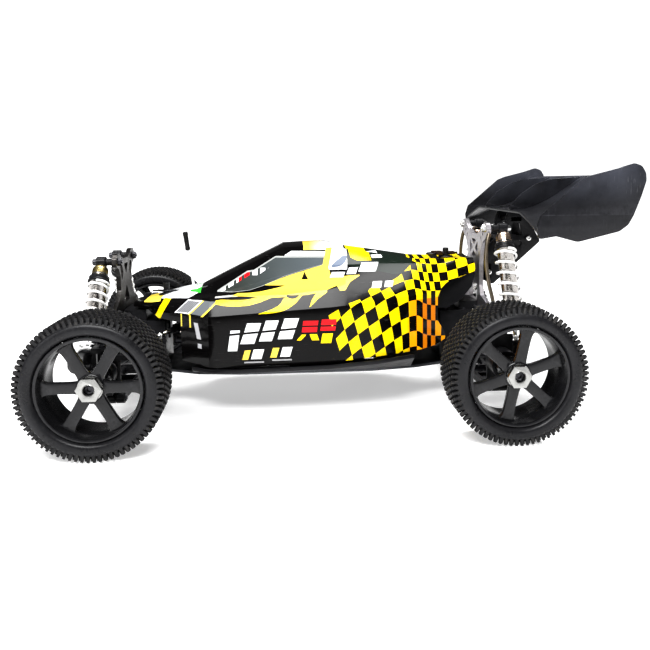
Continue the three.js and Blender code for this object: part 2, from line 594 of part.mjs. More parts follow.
function antenna() {
  const span = new THREE.Vector3(...ANTENNA_TIP).sub(new THREE.Vector3(...ANTENNA_FOOT));
  const top = span.length();
  return turned([
    [0, 0], [4, 0], [4, 12], [1.3, 14], [1.3, top - 18], [2.3, top - 18], [2.3, top - 1], [1.2, top], [0, top],
  ], ANTENNA_FOOT, span.toArray(), 10);
}
add("antenna", antenna(), mats.blackPlastic);

// ---------------------------------------------------------------- steering
function bellcrank() {
  const [armLow, armHigh] = [61.2, 64];
  return join(
    rod([STEER_X, STEER_Y, DECK_TOP], [STEER_X, STEER_Y, armHigh + 3], 4.4, 12),
    box(DRAG_X, STEER_X, STEER_Y - 3, STEER_Y + 3, armLow, armHigh),
    rod([DRAG_X, STEER_Y, armLow], [DRAG_X, STEER_Y, armHigh], 3.6, 10));
}

const dragLink = () => plateZ([
  [-116, -21], [-109, -21], [-108.5, 0], [-109, 21], [-116, 21], [-123, 15], [-123, -15],
], 64.4, 66.6);

function tieRod() {
  const eye = ([x, y, z]) => rod([x, y, z - 3.2], [x, y, z + 3.2], 4.2);
  return join(rod(TIE_INNER, TIE_OUTER, 1.8, 8), eye(TIE_INNER), eye(TIE_OUTER));
}

addPair("steering_bellcrank", bellcrank(), mats.blackPlastic);
add("drag_link", dragLink(), mats.blackPlastic);
addPair("tie_rod", tieRod(), mats.steel);

export default car;
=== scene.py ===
"""The looks of a 1/8-scale RC buggy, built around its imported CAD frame.

Shapes are written in "car millimetres": X from the middle of the wheelbase (nose towards -X), Y to the
car's right-hand side, Z up from the ground. place() turns them into the frame's metres.
"""
import json
import math
from functools import partialmethod

import bmesh
import bpy
from mathutils import Matrix, Vector
from mathutils.geometry import tessellate_polygon


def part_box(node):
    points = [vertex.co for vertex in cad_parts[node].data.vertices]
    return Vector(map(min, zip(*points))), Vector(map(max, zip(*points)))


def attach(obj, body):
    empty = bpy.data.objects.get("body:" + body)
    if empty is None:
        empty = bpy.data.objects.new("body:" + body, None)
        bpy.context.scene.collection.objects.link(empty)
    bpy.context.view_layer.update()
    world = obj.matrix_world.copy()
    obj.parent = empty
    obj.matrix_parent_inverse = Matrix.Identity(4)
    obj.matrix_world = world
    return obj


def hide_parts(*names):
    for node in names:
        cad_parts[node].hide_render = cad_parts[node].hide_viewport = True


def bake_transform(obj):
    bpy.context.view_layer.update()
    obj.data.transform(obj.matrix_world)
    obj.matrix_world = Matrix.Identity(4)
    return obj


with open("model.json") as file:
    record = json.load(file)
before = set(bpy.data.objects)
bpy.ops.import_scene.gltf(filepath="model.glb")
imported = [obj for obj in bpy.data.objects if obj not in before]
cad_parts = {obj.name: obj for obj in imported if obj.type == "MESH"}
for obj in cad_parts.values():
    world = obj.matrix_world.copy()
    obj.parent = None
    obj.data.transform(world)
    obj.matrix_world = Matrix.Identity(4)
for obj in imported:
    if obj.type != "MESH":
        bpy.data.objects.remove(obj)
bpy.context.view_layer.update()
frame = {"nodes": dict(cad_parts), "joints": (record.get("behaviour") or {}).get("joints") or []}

MM = 0.001
SIDES = (("right", 1), ("left", -1))
ENDS = ("front", "rear")
TAU = 2 * math.pi


# ---------------------------------------------------------------- where the frame puts things
def node_centre(node):
    """The middle of a CAD node's box, in metres."""
    low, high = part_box(node)
    return (low + high) / 2


SHIFT_X = (node_centre("front_tyre_right").x + node_centre("rear_tyre_right").x) / 2 / MM


def car(point):
    """A frame point, in car millimetres."""
    return Vector((point[0] / MM - SHIFT_X, point[1] / MM, point[2] / MM))


def metres(point):
    """A car point, in the frame's metres."""
    return Vector(((point[0] + SHIFT_X) * MM, point[1] * MM, point[2] * MM))


JOINTS = {joint["name"]: joint for joint in frame["joints"]}


def pivot(joint_name):
    """Where a joint turns, in car millimetres."""
    return car(JOINTS[joint_name]["pos_m"])


AXLE = {end: car(node_centre(f"{end}_tyre_right")) for end in ENDS}
AXLE_Z = AXLE["front"].z
DIRECTION = {"front": -1, "rear": 1}


# ---------------------------------------------------------------- shapes
NEARLY_PARALLEL = 0.95
ON_THE_AXIS = 1e-6


def axis_frame(origin, axis):
    """A matrix that takes +Z to axis and puts the origin at origin."""
    z = Vector(axis).normalized()
    hint = Vector((1, 0, 0)) if abs(z.z) > NEARLY_PARALLEL else Vector((0, 0, 1))
    x = (hint - z * hint.dot(z)).normalized()
    y = z.cross(x)
    matrix = Matrix((x, y, z)).transposed().to_4x4()
    matrix.translation = Vector(origin)
    return matrix


class Shape:
    def __init__(self, bevel=0.0, paint=0):
        self.points, self.faces, self.paints, self.bevels = [], [], [], []
        self.bevel = bevel
        self.paint = paint
        self.matrix = Matrix()

    def add(self, points, faces):
        """Adds points, placed by the shape's matrix, and the faces between them."""
        base = len(self.points)
        self.points.extend(self.matrix @ Vector(p) for p in points)
        self.faces.extend([base + i for i in face] for face in faces)
        self.paints.extend([self.paint] * len(faces))
        self.bevels.extend([self.bevel] * len(faces))
        return self

    def rings(self, rings, closed=False):
        """Skins a row of point rings and caps its open ends. A ring of one point is a tip."""
        points, starts = [], []
        for ring in rings:
            starts.append(len(points))
            points.extend(ring)
        faces = []
        pairs = list(zip(range(len(rings)), range(1, len(rings))))
        if closed:
            pairs.append((len(rings) - 1, 0))
        for a, b in pairs:
            na, nb = len(rings[a]), len(rings[b])
            n = max(na, nb)
            for i in range(n):
                j = (i + 1) % n
                corners = [starts[a] + i % na, starts[a] + j % na, starts[b] + j % nb, starts[b] + i % nb]
                faces.append(list(dict.fromkeys(corners)))
        if not closed:
            for k in (0, len(rings) - 1):
                if len(rings[k]) > 2:
                    faces.append([starts[k] + i for i in range(len(rings[k]))])
        return self.add(points, faces)

    def turned(self, profile, centre, axis, sides):
        """A profile of (radius, height) turned about an axis. It ends on the axis or closes on itself."""
        place_here = axis_frame(centre, axis)
        closed = tuple(profile[0]) == tuple(profile[-1])
        rows = profile[:-1] if closed else profile
        rings = []
        for radius, height in rows:
            if radius < ON_THE_AXIS:
                rings.append([place_here @ Vector((0, 0, height))])
                continue
            rings.append([place_here @ Vector((*p, height)) for p in ring_outline(0, 0, radius, sides)])
        return self.rings(rings, closed=closed)

    def rod(self, start, end, radius, sides):
        """A round bar from start to end."""
        along = Vector(end) - Vector(start)
        length = along.length
        return self.turned([(0, 0), (radius, 0), (radius, length), (0, length)], start, along, sides)

    def ball(self, centre, radius, sides=20, rows=10):
        """A ball with its poles up and down."""
        profile = [(radius * math.sin(math.pi * i / rows), -radius * math.cos(math.pi * i / rows))
                   for i in range(rows + 1)]
        profile[0], profile[-1] = (0, -radius), (0, radius)
        return self.turned(profile, centre, (0, 0, 1), sides)

    def box(self, x0, x1, y0, y1, z0, z1):
        """A block between two limits on each axis."""
        points = [(x, y, z) for x in (x0, x1) for y in (y0, y1) for z in (z0, z1)]
        faces = [[0, 1, 3, 2], [4, 6, 7, 5], [0, 4, 5, 1], [2, 3, 7, 6], [0, 2, 6, 4], [1, 5, 7, 3]]
        return self.add(points, faces)

    def prism(self, across, outline, low, high, holes=()):
        """An outline with holes, drawn in the plane across an axis ('x', 'y' or 'z'), from low to high."""
        def point(a, b, level):
            return {"x": (level, a, b), "y": (a, level, b), "z": (a, b, level)}[across]
        loops = [list(outline), *[list(hole) for hole in holes]]
        flat = [p for loop in loops for p in loop]
        triangles = tessellate_polygon([[Vector((a, b, 0)) for a, b in loop] for loop in loops])
        count = len(flat)
        points = [point(a, b, low) for a, b in flat] + [point(a, b, high) for a, b in flat]
        faces = [list(t) for t in triangles] + [[i + count for i in t] for t in triangles]
        start = 0
        for loop in loops:
            n = len(loop)
            for i in range(n):
                a, b = start + i, start + (i + 1) % n
                faces.append([a, b, b + count, a + count])
            start += n
        return self.add(points, faces)

    def tube(self, path, radius, sides=10):
        """A round wire along a path of points."""
        last = len(path) - 1
        tangents = [(path[min(i + 1, last)] - path[max(i - 1, 0)]).normalized() for i in range(len(path))]
        side = tangents[0].orthogonal().normalized()
        rings = []
        for p, tangent in zip(path, tangents):
            side = (side - tangent * side.dot(tangent)).normalized()
            other = tangent.cross(side)
            rings.append([p + side * a + other * b for a, b in ring_outline(0, 0, radius, sides)])
        return self.rings(rings)


FLATTEST_CORNER = 0.05
SHORTEST_ROUND = 0.05
LONGEST_ROUND = 0.45


def rounded(outline, radius, steps=4):
    """An outline with its corners rounded off. radius is one number or one for each corner."""
    radii = radius if isinstance(radius, (list, tuple)) else [radius] * len(outline)
    points = []
    for i, corner in enumerate(outline):
        here = Vector(corner)
        to_a = Vector(outline[i - 1]) - here
        to_b = Vector(outline[(i + 1) % len(outline)]) - here
        slope = max(math.tan(to_a.angle(to_b) / 2), FLATTEST_CORNER)
        reach = min(radii[i] / slope, LONGEST_ROUND * to_a.length, LONGEST_ROUND * to_b.length)
        if reach < SHORTEST_ROUND:
            points.append(tuple(here))
            continue
        start, end = here + to_a.normalized() * reach, here + to_b.normalized() * reach
        for k in range(steps + 1):
            t = k / steps
            points.append(tuple(start * (1 - t) ** 2 + here * 2 * t * (1 - t) + end * t ** 2))
    return points


def ring_outline(a, b, radius, sides=20):
    """The points of a circle about (a, b)."""
    turns = [TAU * i / sides for i in range(sides)]
    return [(a + radius * math.cos(turn), b + radius * math.sin(turn)) for turn in turns]


def both_halves(half):
    """Mirrors a half outline, drawn from the bottom centre round the right to the top centre."""
    other = [(-a, b) for a, b in reversed(half) if a > ON_THE_AXIS]
    return list(half) + other


def smooth_path(points, steps):
    """A Catmull-Rom curve through the points."""
    points = [Vector(p) for p in points]
    ends = [points[0] * 2 - points[1], *points, points[-1] * 2 - points[-2]]
    path = []
    for i in range(1, len(ends) - 2):
        p0, p1, p2, p3 = ends[i - 1:i + 3]
        for k in range(steps):
            t = k / steps
            path.append(0.5 * (2 * p1 + (p2 - p0) * t + (2 * p0 - 5 * p1 + 4 * p2 - p3) * t ** 2
                               + (3 * p1 - p0 - 3 * p2 + p3) * t ** 3))
    path.append(points[-1])
    return path


def bevel_edges(bm, size, angle, faces=None):
    """Rounds the edges that turn by more than angle degrees, on all faces or between the given ones."""
    edges = []
    for edge in bm.edges:
        if len(edge.link_faces) != 2 or edge.calc_face_angle(0) < math.radians(angle):
            continue
        if faces is None or all(f in faces for f in edge.link_faces):
            edges.append(edge)
    if edges:
        bmesh.ops.bevel(bm, geom=edges, offset=size, segments=2, profile=0.6, affect="EDGES",
                        clamp_overlap=True)


def register(mesh, name, body, materials, replaces):
    """Makes a visual piece of a mesh, hangs it on the empty of the body it rides on and hides the CAD parts
    it stands in for.
    """
    piece = bpy.data.objects.new(name, mesh)
    bpy.context.scene.collection.objects.link(piece)
    for material in materials:
        mesh.materials.append(material)
    if body:
        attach(piece, body)
    if replaces:
        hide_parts(*replaces)
    return piece


SMOOTH_UNDER = math.radians(32)
BEVEL_OVER = 28
SAME_POINT = 1e-6
SAME_PLANE = math.radians(0.6)


def finish(shape, name, body, materials, replaces=(), mirror=False):
    """One mesh piece from a shape, riding on a body."""
    bm = bmesh.new()
    verts = [bm.verts.new(p) for p in shape.points]
    group = bm.faces.layers.int.new("bevel")
    sizes = sorted(set(shape.bevels))
    for corners, paint, bevel in zip(shape.faces, shape.paints, shape.bevels):
        face = bm.faces.new([verts[i] for i in corners])
        face.material_index = paint
        face[group] = sizes.index(bevel)
    bmesh.ops.recalc_face_normals(bm, faces=bm.faces)
    for index, size in enumerate(sizes):
        if size > 0:
            bevel_edges(bm, size, BEVEL_OVER, {f for f in bm.faces if f[group] == index})
    side = -1 if mirror else 1
    for v in bm.verts:
        v.co = metres((v.co.x, v.co.y * side, v.co.z))
    if mirror:
        bmesh.ops.reverse_faces(bm, faces=bm.faces)
    for face in bm.faces:
        face.smooth = True
    mesh = bpy.data.meshes.new(name)
    bm.to_mesh(mesh)
    bm.free()
    mesh.set_sharp_from_angle(angle=SMOOTH_UNDER)
    return register(mesh, name, body, materials, replaces)


def refined(node, name, body, materials, bevel, angle=30, paint_face=None):
    """A CAD node's own shape with its edges rounded, standing in for the node."""
    bm = bmesh.new()
    bm.from_mesh(frame["nodes"][node].data)
    bmesh.ops.remove_doubles(bm, verts=bm.verts, dist=SAME_POINT)
    bmesh.ops.dissolve_limit(bm, angle_limit=SAME_PLANE, verts=bm.verts, edges=bm.edges)
    bevel_edges(bm, bevel * MM, angle)
    for face in bm.faces:
        face.smooth = True
        centre = car(face.calc_center_median())
        face.material_index = paint_face(centre, face.normal) if paint_face else 0
    mesh = bpy.data.meshes.new(name)
    bm.to_mesh(mesh)
    bm.free()
    mesh.set_sharp_from_angle(angle=SMOOTH_UNDER)
    return register(mesh, name, body, materials, [node])


def each_side(make, name, body, materials, replaces=(), ends=ENDS):
    """The same piece at both sides of each end, mirrored on the left.

    In the names, E stands for the end and S for the side. make takes the end.
    """
    for end in ends:
        for side, sign in SIDES:
            title, rides_on, *nodes = [text.replace("E", end).replace("S", side)
                                       for text in (name, body, *replaces)]
            chosen = materials[end] if isinstance(materials, dict) else materials
            finish(make(end), title, rides_on, chosen, nodes, sign < 0)


# ---------------------------------------------------------------- materials
CURVE_MARGIN = 1e-3
NOISE_ROUGHNESS = 0.55
SHARP_FROM, SHARP_TO = 0.52, 0.6


class Value:
    """A node socket that takes part in Python arithmetic."""

    def __init__(self, tree, socket):
        self.tree, self.socket = tree, socket

    def math(self, operation, *others):
        node = self.tree.nodes.new("ShaderNodeMath")
        node.operation = operation
        for port, source in zip(node.inputs, (self, *others)):
            if isinstance(source, Value):
                self.tree.links.new(source.socket, port)
            else:
                port.default_value = source
        return Value(self.tree, node.outputs[0])

    __add__ = partialmethod(math, "ADD")
    __sub__ = partialmethod(math, "SUBTRACT")
    __rsub__ = partialmethod(math, "MULTIPLY_ADD", -1.0)
    __mul__ = partialmethod(math, "MULTIPLY")
    __truediv__ = partialmethod(math, "DIVIDE")
    __lt__ = partialmethod(math, "LESS_THAN")
    __gt__ = partialmethod(math, "GREATER_THAN")
    __and__ = __mul__
    __or__ = partialmethod(math, "MAXIMUM")
    __abs__ = partialmethod(math, "ABSOLUTE")

    def __invert__(self):
        return 1.0 - self

    def within(self, low, high):
        """1 between low and high, else 0."""
        return self.math("COMPARE", (low + high) / 2, (high - low) / 2)

    def ramp(self, low, high, to_low=0.0, to_high=1.0):
        """Straight from to_low to to_high between low and high, level outside."""
        node = self.tree.nodes.new("ShaderNodeMapRange")
        self.tree.links.new(self.socket, node.inputs["Value"])
        ports = {"From Min": low, "From Max": high, "To Min": to_low, "To Max": to_high}
        for port, number in ports.items():
            node.inputs[port].default_value = number
        return Value(self.tree, node.outputs[0])

    def curve(self, points, smooth=False):
        """A function of this value that runs through the points."""
        xs, ys = zip(*points)
        x0, x1 = min(xs), max(xs)
        y0, y1 = min(ys) - CURVE_MARGIN, max(ys) + CURVE_MARGIN
        node = self.tree.nodes.new("ShaderNodeFloatCurve")
        line = node.mapping.curves[0]
        spots = [((x - x0) / (x1 - x0), (y - y0) / (y1 - y0)) for x, y in points]
        for spot in spots[1:-1]:
            line.points.new(*spot)
        for point, spot in zip(line.points, spots):
            point.location = spot
            point.handle_type = "AUTO_CLAMPED" if smooth else "VECTOR"
        node.mapping.update()
        self.tree.links.new(self.ramp(x0, x1).socket, node.inputs["Value"])
        return Value(self.tree, node.outputs[0]).math("MULTIPLY_ADD", y1 - y0, y0)


class Sketch:
    """A material written as arithmetic on its own object coordinates."""

    def __init__(self, name):
        self.material = bpy.data.materials.new(name)
        self.material.use_nodes = True
        self.tree = self.material.node_tree
        self.shader = next(n for n in self.tree.nodes if n.type == "BSDF_PRINCIPLED")
        self.coords = self.tree.nodes.new("ShaderNodeTexCoord")
        split = self.tree.nodes.new("ShaderNodeSeparateXYZ")
        self.tree.links.new(self.coords.outputs["Object"], split.inputs[0])
        x, y, z = (Value(self.tree, port) for port in split.outputs)
        self.x, self.y, self.z = x / MM - SHIFT_X, y / MM, z / MM

    def set(self, **numbers):
        """Constants on the shader's own sockets."""
        for port, number in numbers.items():
            self.shader.inputs[port.replace("_", " ")].default_value = number
        return self

    def link(self, port, value):
        """Feeds a value to one of the shader's sockets."""
        self.tree.links.new(value.socket, self.shader.inputs[port])
        return self

    def noise(self, size, detail, stretch=(1, 1, 1)):
        """Noise whose features are about size millimetres across, from 0 to 1."""
        place_here = self.tree.nodes.new("ShaderNodeMapping")
        place_here.inputs["Scale"].default_value = [1 / (s * size * MM) for s in stretch]
        self.tree.links.new(self.coords.outputs["Object"], place_here.inputs["Vector"])
        node = self.tree.nodes.new("ShaderNodeTexNoise")
        node.inputs["Scale"].default_value = 1.0
        node.inputs["Detail"].default_value = detail
        node.inputs["Roughness"].default_value = NOISE_ROUGHNESS
        self.tree.links.new(place_here.outputs[0], node.inputs["Vector"])
        return Value(self.tree, node.outputs["Fac"])

    def edges(self):
        """Where the surface turns outwards sharply."""
        node = self.tree.nodes.new("ShaderNodeNewGeometry")
        return Value(self.tree, node.outputs["Pointiness"]).ramp(SHARP_FROM, SHARP_TO)

    def mix(self, mask, below, above):
        """The colour below, with the colour above where the mask is 1. Colours are tuples or Values."""
        node = self.tree.nodes.new("ShaderNodeMix")
        node.data_type = "RGBA"
        self.tree.links.new(mask.socket, node.inputs["Factor"])
        for port, colour in (("A", below), ("B", above)):
            target = next(i for i in node.inputs if i.name == port and i.type == "RGBA")
            if isinstance(colour, Value):
                self.tree.links.new(colour.socket, target)
            else:
                target.default_value = (*colour, 1)
        return Value(self.tree, next(o for o in node.outputs if o.type == "RGBA"))

    def bump(self, height, depth, strength=1.0):
        """A height from 0 to 1, standing depth millimetres proud."""
        node = self.tree.nodes.new("ShaderNodeBump")
        node.inputs["Strength"].default_value = strength
        node.inputs["Distance"].default_value = depth * MM
        self.tree.links.new(height.socket, node.inputs["Height"])
        self.tree.links.new(node.outputs[0], self.shader.inputs["Normal"])
        return self


def scaled(colour, factor):
    """A colour made lighter or darker."""
    return tuple(min(1.0, c * factor) for c in colour)


def plastic(name, colour, roughness, grain=0.35, depth=0.03, edge_wear_and_highlight=0.5, specular=0.5):
    """Moulded plastic: a fine grain, uneven gloss, and sharp edges painted lighter, partly as rubbed wear
    and partly as a painted highlight.
    """
    s = Sketch(name)
    cloud = s.noise(14, 4)
    base = s.mix(cloud.ramp(0.3, 0.7), scaled(colour, 0.82), scaled(colour, 1.2))
    # Sharp edges painted lighter: rubbed wear and a painted highlight.
    rubbed_and_highlit_edges = s.edges() & s.noise(3, 3).ramp(0.35, 0.65)
    base = s.mix(rubbed_and_highlit_edges * edge_wear_and_highlight, base, scaled(colour, 3.2))
    specks = s.noise(0.9, 2).ramp(0.66, 0.74)
    base = s.mix(specks * 0.25, base, scaled(colour, 2.2))
    s.link("Base Color", base)
    s.link("Roughness", cloud.ramp(0.25, 0.75, roughness - 0.07, roughness + 0.08) - rubbed_and_highlit_edges * 0.08)
    s.bump(s.noise(grain, 2), depth)
    s.set(Specular_IOR_Level=specular)
    return s.material


def metal(name, colour, roughness, stretch=(1, 1, 1)):
    """Machined metal: fine tool streaks, patchy gloss, and bright edges, partly rubbed wear and partly a
    painted highlight.
    """
    s = Sketch(name)
    streaks = s.noise(0.25, 2, stretch)
    cloud = s.noise(9, 4)
    base = s.mix(cloud.ramp(0.3, 0.7), scaled(colour, 0.75), colour)
    base = s.mix(streaks.ramp(0.35, 0.65) * 0.3, base, scaled(colour, 0.7))
    # Sharp edges painted brighter: rubbed wear and a painted highlight.
    rubbed_and_highlit_edges = s.edges() & s.noise(2, 3).ramp(0.3, 0.6)
    base = s.mix(rubbed_and_highlit_edges * 0.4, base, scaled(colour, 1.6))
    s.link("Base Color", base)
    gloss = cloud.ramp(0.25, 0.75, roughness - 0.06, roughness + 0.1)
    s.link("Roughness", gloss + streaks.ramp(0.3, 0.7, 0, 0.08))
    s.bump(streaks, 0.02)
    s.set(Metallic=1.0)
    return s.material


def rubber(name, colour, roughness, dusty):
    """Tyre rubber, greyed by dust in its roughest spots."""
    s = Sketch(name)
    cloud = s.noise(18, 5)
    base = s.mix(cloud.ramp(0.3, 0.72), scaled(colour, 0.8), scaled(colour, 1.3))
    dust = s.noise(2.2, 4).ramp(0.5, 0.75)
    base = s.mix(dust * dusty, base, (0.12, 0.11, 0.1))
    s.link("Base Color", base)
    s.link("Roughness", cloud.ramp(0.25, 0.75, roughness - 0.06, roughness + 0.06) + dust * 0.08)
    s.bump(s.noise(0.5, 3), 0.06)
    s.set(Specular_IOR_Level=0.18)
    return s.material


BLACK = plastic("black_nylon", (0.0085, 0.0085, 0.0095), 0.36, edge_wear_and_highlight=0.3, specular=0.18)
# The wheel's edges are painted lighter than most: a painted highlight along rim and spokes, with some
# rubbed wear.
WHEEL_BLACK = plastic("wheel_nylon", (0.0095, 0.0095, 0.0105), 0.2, grain=0.5, depth=0.01, edge_wear_and_highlight=0.6,
                      specular=0.3)
DARK_CLIP = plastic("brown_black_nylon", (0.02, 0.011, 0.008), 0.4, specular=0.18)
TREAD = rubber("tread_rubber", (0.015, 0.015, 0.016), 0.45, 0.3)
SIDEWALL = rubber("sidewall_rubber", (0.013, 0.013, 0.0145), 0.29, 0.06)
CHASSIS_ALLOY = metal("chassis_alloy", (0.07, 0.072, 0.078), 0.35, (12, 1, 1))
FRONT_TOWER_ALLOY = metal("front_tower_alloy", (0.055, 0.052, 0.05), 0.32, (1, 10, 1))
REAR_TOWER_ALLOY = metal("rear_tower_alloy", (0.4, 0.385, 0.4), 0.36, (1, 10, 1))
STAY_BRONZE = metal("stay_bronze", (0.2, 0.17, 0.13), 0.34)
DAMPER_ALLOY = metal("damper_alloy", (0.5, 0.48, 0.46), 0.13)
CAP_ALLOY = {"front": [metal("front_cap_alloy", (0.45, 0.36, 0.16), 0.26)],
             "rear": [metal("rear_cap_alloy", (0.92, 0.68, 0.52), 0.22)]}
STEEL = metal("bright_steel", (0.62, 0.62, 0.61), 0.16)
NUT_STEEL = metal("wheel_nut_steel", (0.36, 0.36, 0.35), 0.2)
DARK_STEEL = metal("black_oxide_steel", (0.06, 0.06, 0.065), 0.3)
GEAR_STEEL = metal("hardened_steel", (0.27, 0.27, 0.28), 0.3)
SPRING_WHITE = plastic("spring_powder_coat", (0.9, 0.9, 0.88), 0.26, grain=0.6, depth=0.02, edge_wear_and_highlight=0.0)
MOTOR_BLACK = metal("motor_can", (0.05, 0.05, 0.055), 0.28, (10, 1, 1))
TRAY = plastic("tray_nylon", (0.012, 0.012, 0.013), 0.48, specular=0.18)
SERVO_CASE = plastic("servo_case", (0.009, 0.009, 0.01), 0.35, specular=0.35)
RECEIVER_CASE = plastic("receiver_case", (0.2, 0.21, 0.23), 0.4, edge_wear_and_highlight=0.1)
HEAT_SINK = metal("heat_sink_alloy", (0.55, 0.12, 0.08), 0.3, (10, 1, 1))
TUBE_WHITE = plastic("antenna_tube", (0.92, 0.93, 0.94), 0.2, grain=0.8, depth=0.01, edge_wear_and_highlight=0.0)
CAP_RUBBER = rubber("antenna_cap_rubber", (0.008, 0.008, 0.008), 0.5, 0.1)


def wing_material():
    """Satin moulded nylon with long scuffs, worst near the rear corners, a painted sheen in patches towards
    the top, and edges painted lighter as rubbed wear and a painted highlight.
    """
    s = Sketch("wing_nylon")
    colour = (0.0085, 0.0087, 0.0105)
    cloud = s.noise(22, 5)
    base = s.mix(cloud.ramp(0.3, 0.7), scaled(colour, 0.85), scaled(colour, 1.35))
    # Lighter, bluish patches towards the top: a painted sheen.
    base = s.mix(s.z.ramp(185, 218) * s.noise(30, 2).ramp(0.3, 0.6), base, (0.05, 0.053, 0.066))
    scratch = s.noise(1.3, 2, (1, 1, 9)).ramp(0.63, 0.69)
    corner = s.x.ramp(245, 270) & s.z.ramp(185, 207)
    scuffs = scratch & (corner * 0.9 + 0.1)
    rubbed_and_highlit_edges = s.edges() & s.noise(4, 3).ramp(0.3, 0.6)
    base = s.mix(scuffs * 0.5, base, (0.13, 0.13, 0.14))
    # Edges painted lighter: rubbed wear and a painted highlight.
    base = s.mix(rubbed_and_highlit_edges * 0.3, base, (0.07, 0.07, 0.08))
    s.link("Base Color", base)
    s.link("Roughness", cloud.ramp(0.25, 0.75, 0.27, 0.42) + scuffs * 0.2)
    s.bump(s.noise(0.7, 2) + scratch * 0.4, 0.025)
    s.set(Specular_IOR_Level=0.25)
    return s.material


WING_BLACK = wing_material()


def battery_material():
    """A hard pack in blue-black with a plain grey band."""
    s = Sketch("battery_case")
    cloud = s.noise(12, 4)
    base = s.mix(cloud.ramp(0.3, 0.7), (0.012, 0.02, 0.05), (0.02, 0.032, 0.075))
    band = s.z.within(50, 60)
    base = s.mix(band, base, (0.22, 0.23, 0.25))
    s.link("Base Color", base)
    s.link("Roughness", cloud.ramp(0.25, 0.75, 0.3, 0.42))
    s.bump(s.noise(0.5, 2), 0.02)
    return s.material


BATTERY_CASE = battery_material()


# ---------------------------------------------------------------- the shell's paint
YELLOW, PALE = (0.93, 0.68, 0.003), (0.9, 0.7, 0.09)
ORANGE, DEEP_ORANGE = (0.95, 0.38, 0.004), (0.75, 0.22, 0.004)
WHITE, RED, GREEN = (0.85, 0.86, 0.87), (0.62, 0.01, 0.015), (0.05, 0.45, 0.05)


def band(s, lower, upper, smooth=True):
    """The strip between two curves z(x) that start and end at the same x."""
    inside = s.x.within(max(lower[0][0], upper[0][0]), min(lower[-1][0], upper[-1][0]))
    return inside & (s.z > s.x.curve(lower, smooth)) & (s.z < s.x.curve(upper, smooth))


def block(s, x0, x1, z0, z1, lean=0.0):
    """A parallelogram in side view. lean is how far it moves back for each millimetre up."""
    across = s.x - (s.z - (z0 + z1) / 2) * lean
    return across.within(x0, x1) & s.z.within(z0, z1)


def chequers(s):
    """A waving chequered flag: skewed diamonds that straighten and narrow towards the rear."""
    lean = s.x.curve([(20, 0.31), (60, 0.25), (76, 0.2), (86, 0.08), (93, 0.02), (130, 0.0)])
    # Above the crease the rows run on over the pod's sloping top, so they look lower from the side.
    crease = s.x.curve([(20, 98.5), (60, 102), (105, 106), (120, 107), (131, 109), (160, 121)])
    over = (s.z - crease).math("MAXIMUM", 0.0)
    height = s.z + over * 0.9
    back = s.x + lean * (height - 75)
    columns = back.curve([(2, -3), (13, -2), (24, -1), (34, 0), (44.5, 1), (55.5, 2), (66, 3), (76, 4),
                          (84.5, 5), (92, 6), (99, 7), (105, 8), (109.3, 9), (113.5, 10), (118, 11),
                          (124, 12), (132, 13), (142, 14), (153, 15), (165, 16)])
    rows = (height - s.x.curve([(10, 45), (20, 52), (36, 67), (54, 80), (72, 91), (81, 96), (91, 100),
                                (98, 101), (105, 98), (113, 95), (130, 93), (165, 96)], True)) / 14
    squares = (columns.math("FLOOR") + rows.math("FLOOR")).math("MODULO", 2.0)
    return abs(squares) > 0.5


def flames(s):
    """The yellow flame along the cabin's foot and the pod's top, and its tongues."""
    main = band(s, [(-79, 100.5), (-70, 99.3), (-60, 99), (-50, 99.6), (-40, 101.8), (-30, 105),
                    (-15, 105.5), (0, 107), (10, 108.3), (20, 111), (28, 114), (30.5, 110.3), (35, 110.8),
                    (40, 117), (49, 122)], [(-79, 103), (-70, 104.2), (-60, 108.4), (-50, 108.6),
                                            (-40, 109.6), (-30, 111.6), (-20, 113.8), (-12, 118), (0, 127),
                                            (16, 131.5), (20, 134), (23, 122), (30, 121), (35, 122),
                                            (40, 122.4), (49, 122.6)], False)
    slit = band(s, [(-76, 103.6), (-60, 103.4), (-43, 105)], [(-76, 105), (-60, 106), (-43, 105.2)])
    upper = band(s, [(-36, 114.8), (-20, 114.6), (-8, 117), (5, 125)],
                 [(-36, 115), (-20, 120.8), (-8, 124.6), (5, 128.2)])
    notch = band(s, [(-3.5, 119.5), (2.5, 119.5)], [(-3.5, 119.6), (2.5, 119.6)])
    peak = (abs(s.x + 0.5) * 2.1 + s.z < 126) & (s.z > 119.5)
    tongue = band(s, [(-41, 93.8), (-30, 94.4), (-20, 96.2), (-12, 99.6), (-6, 104), (-3, 107)],
                  [(-41, 94.2), (-34, 96), (-27, 98.2), (-22, 101), (-19, 104.5), (-3, 107.5)])
    scoop = band(s, [(-17, 105.5), (-12, 104.2), (-6, 106)], [(-17, 107), (-12, 106.8), (-6, 107)])
    drop = band(s, [(3, 98.5), (7, 101.5), (11, 104.5), (19, 109)],
                [(3, 98.8), (5, 103.5), (9, 108), (19, 112)], False)
    post = (s.x - (s.z - 131) * 0.25).within(15.8, 21.5) & s.z.within(120, 146.5)
    shape = (main & ~slit) | upper | tongue | drop | post
    return shape & ~(scoop | notch | peak)


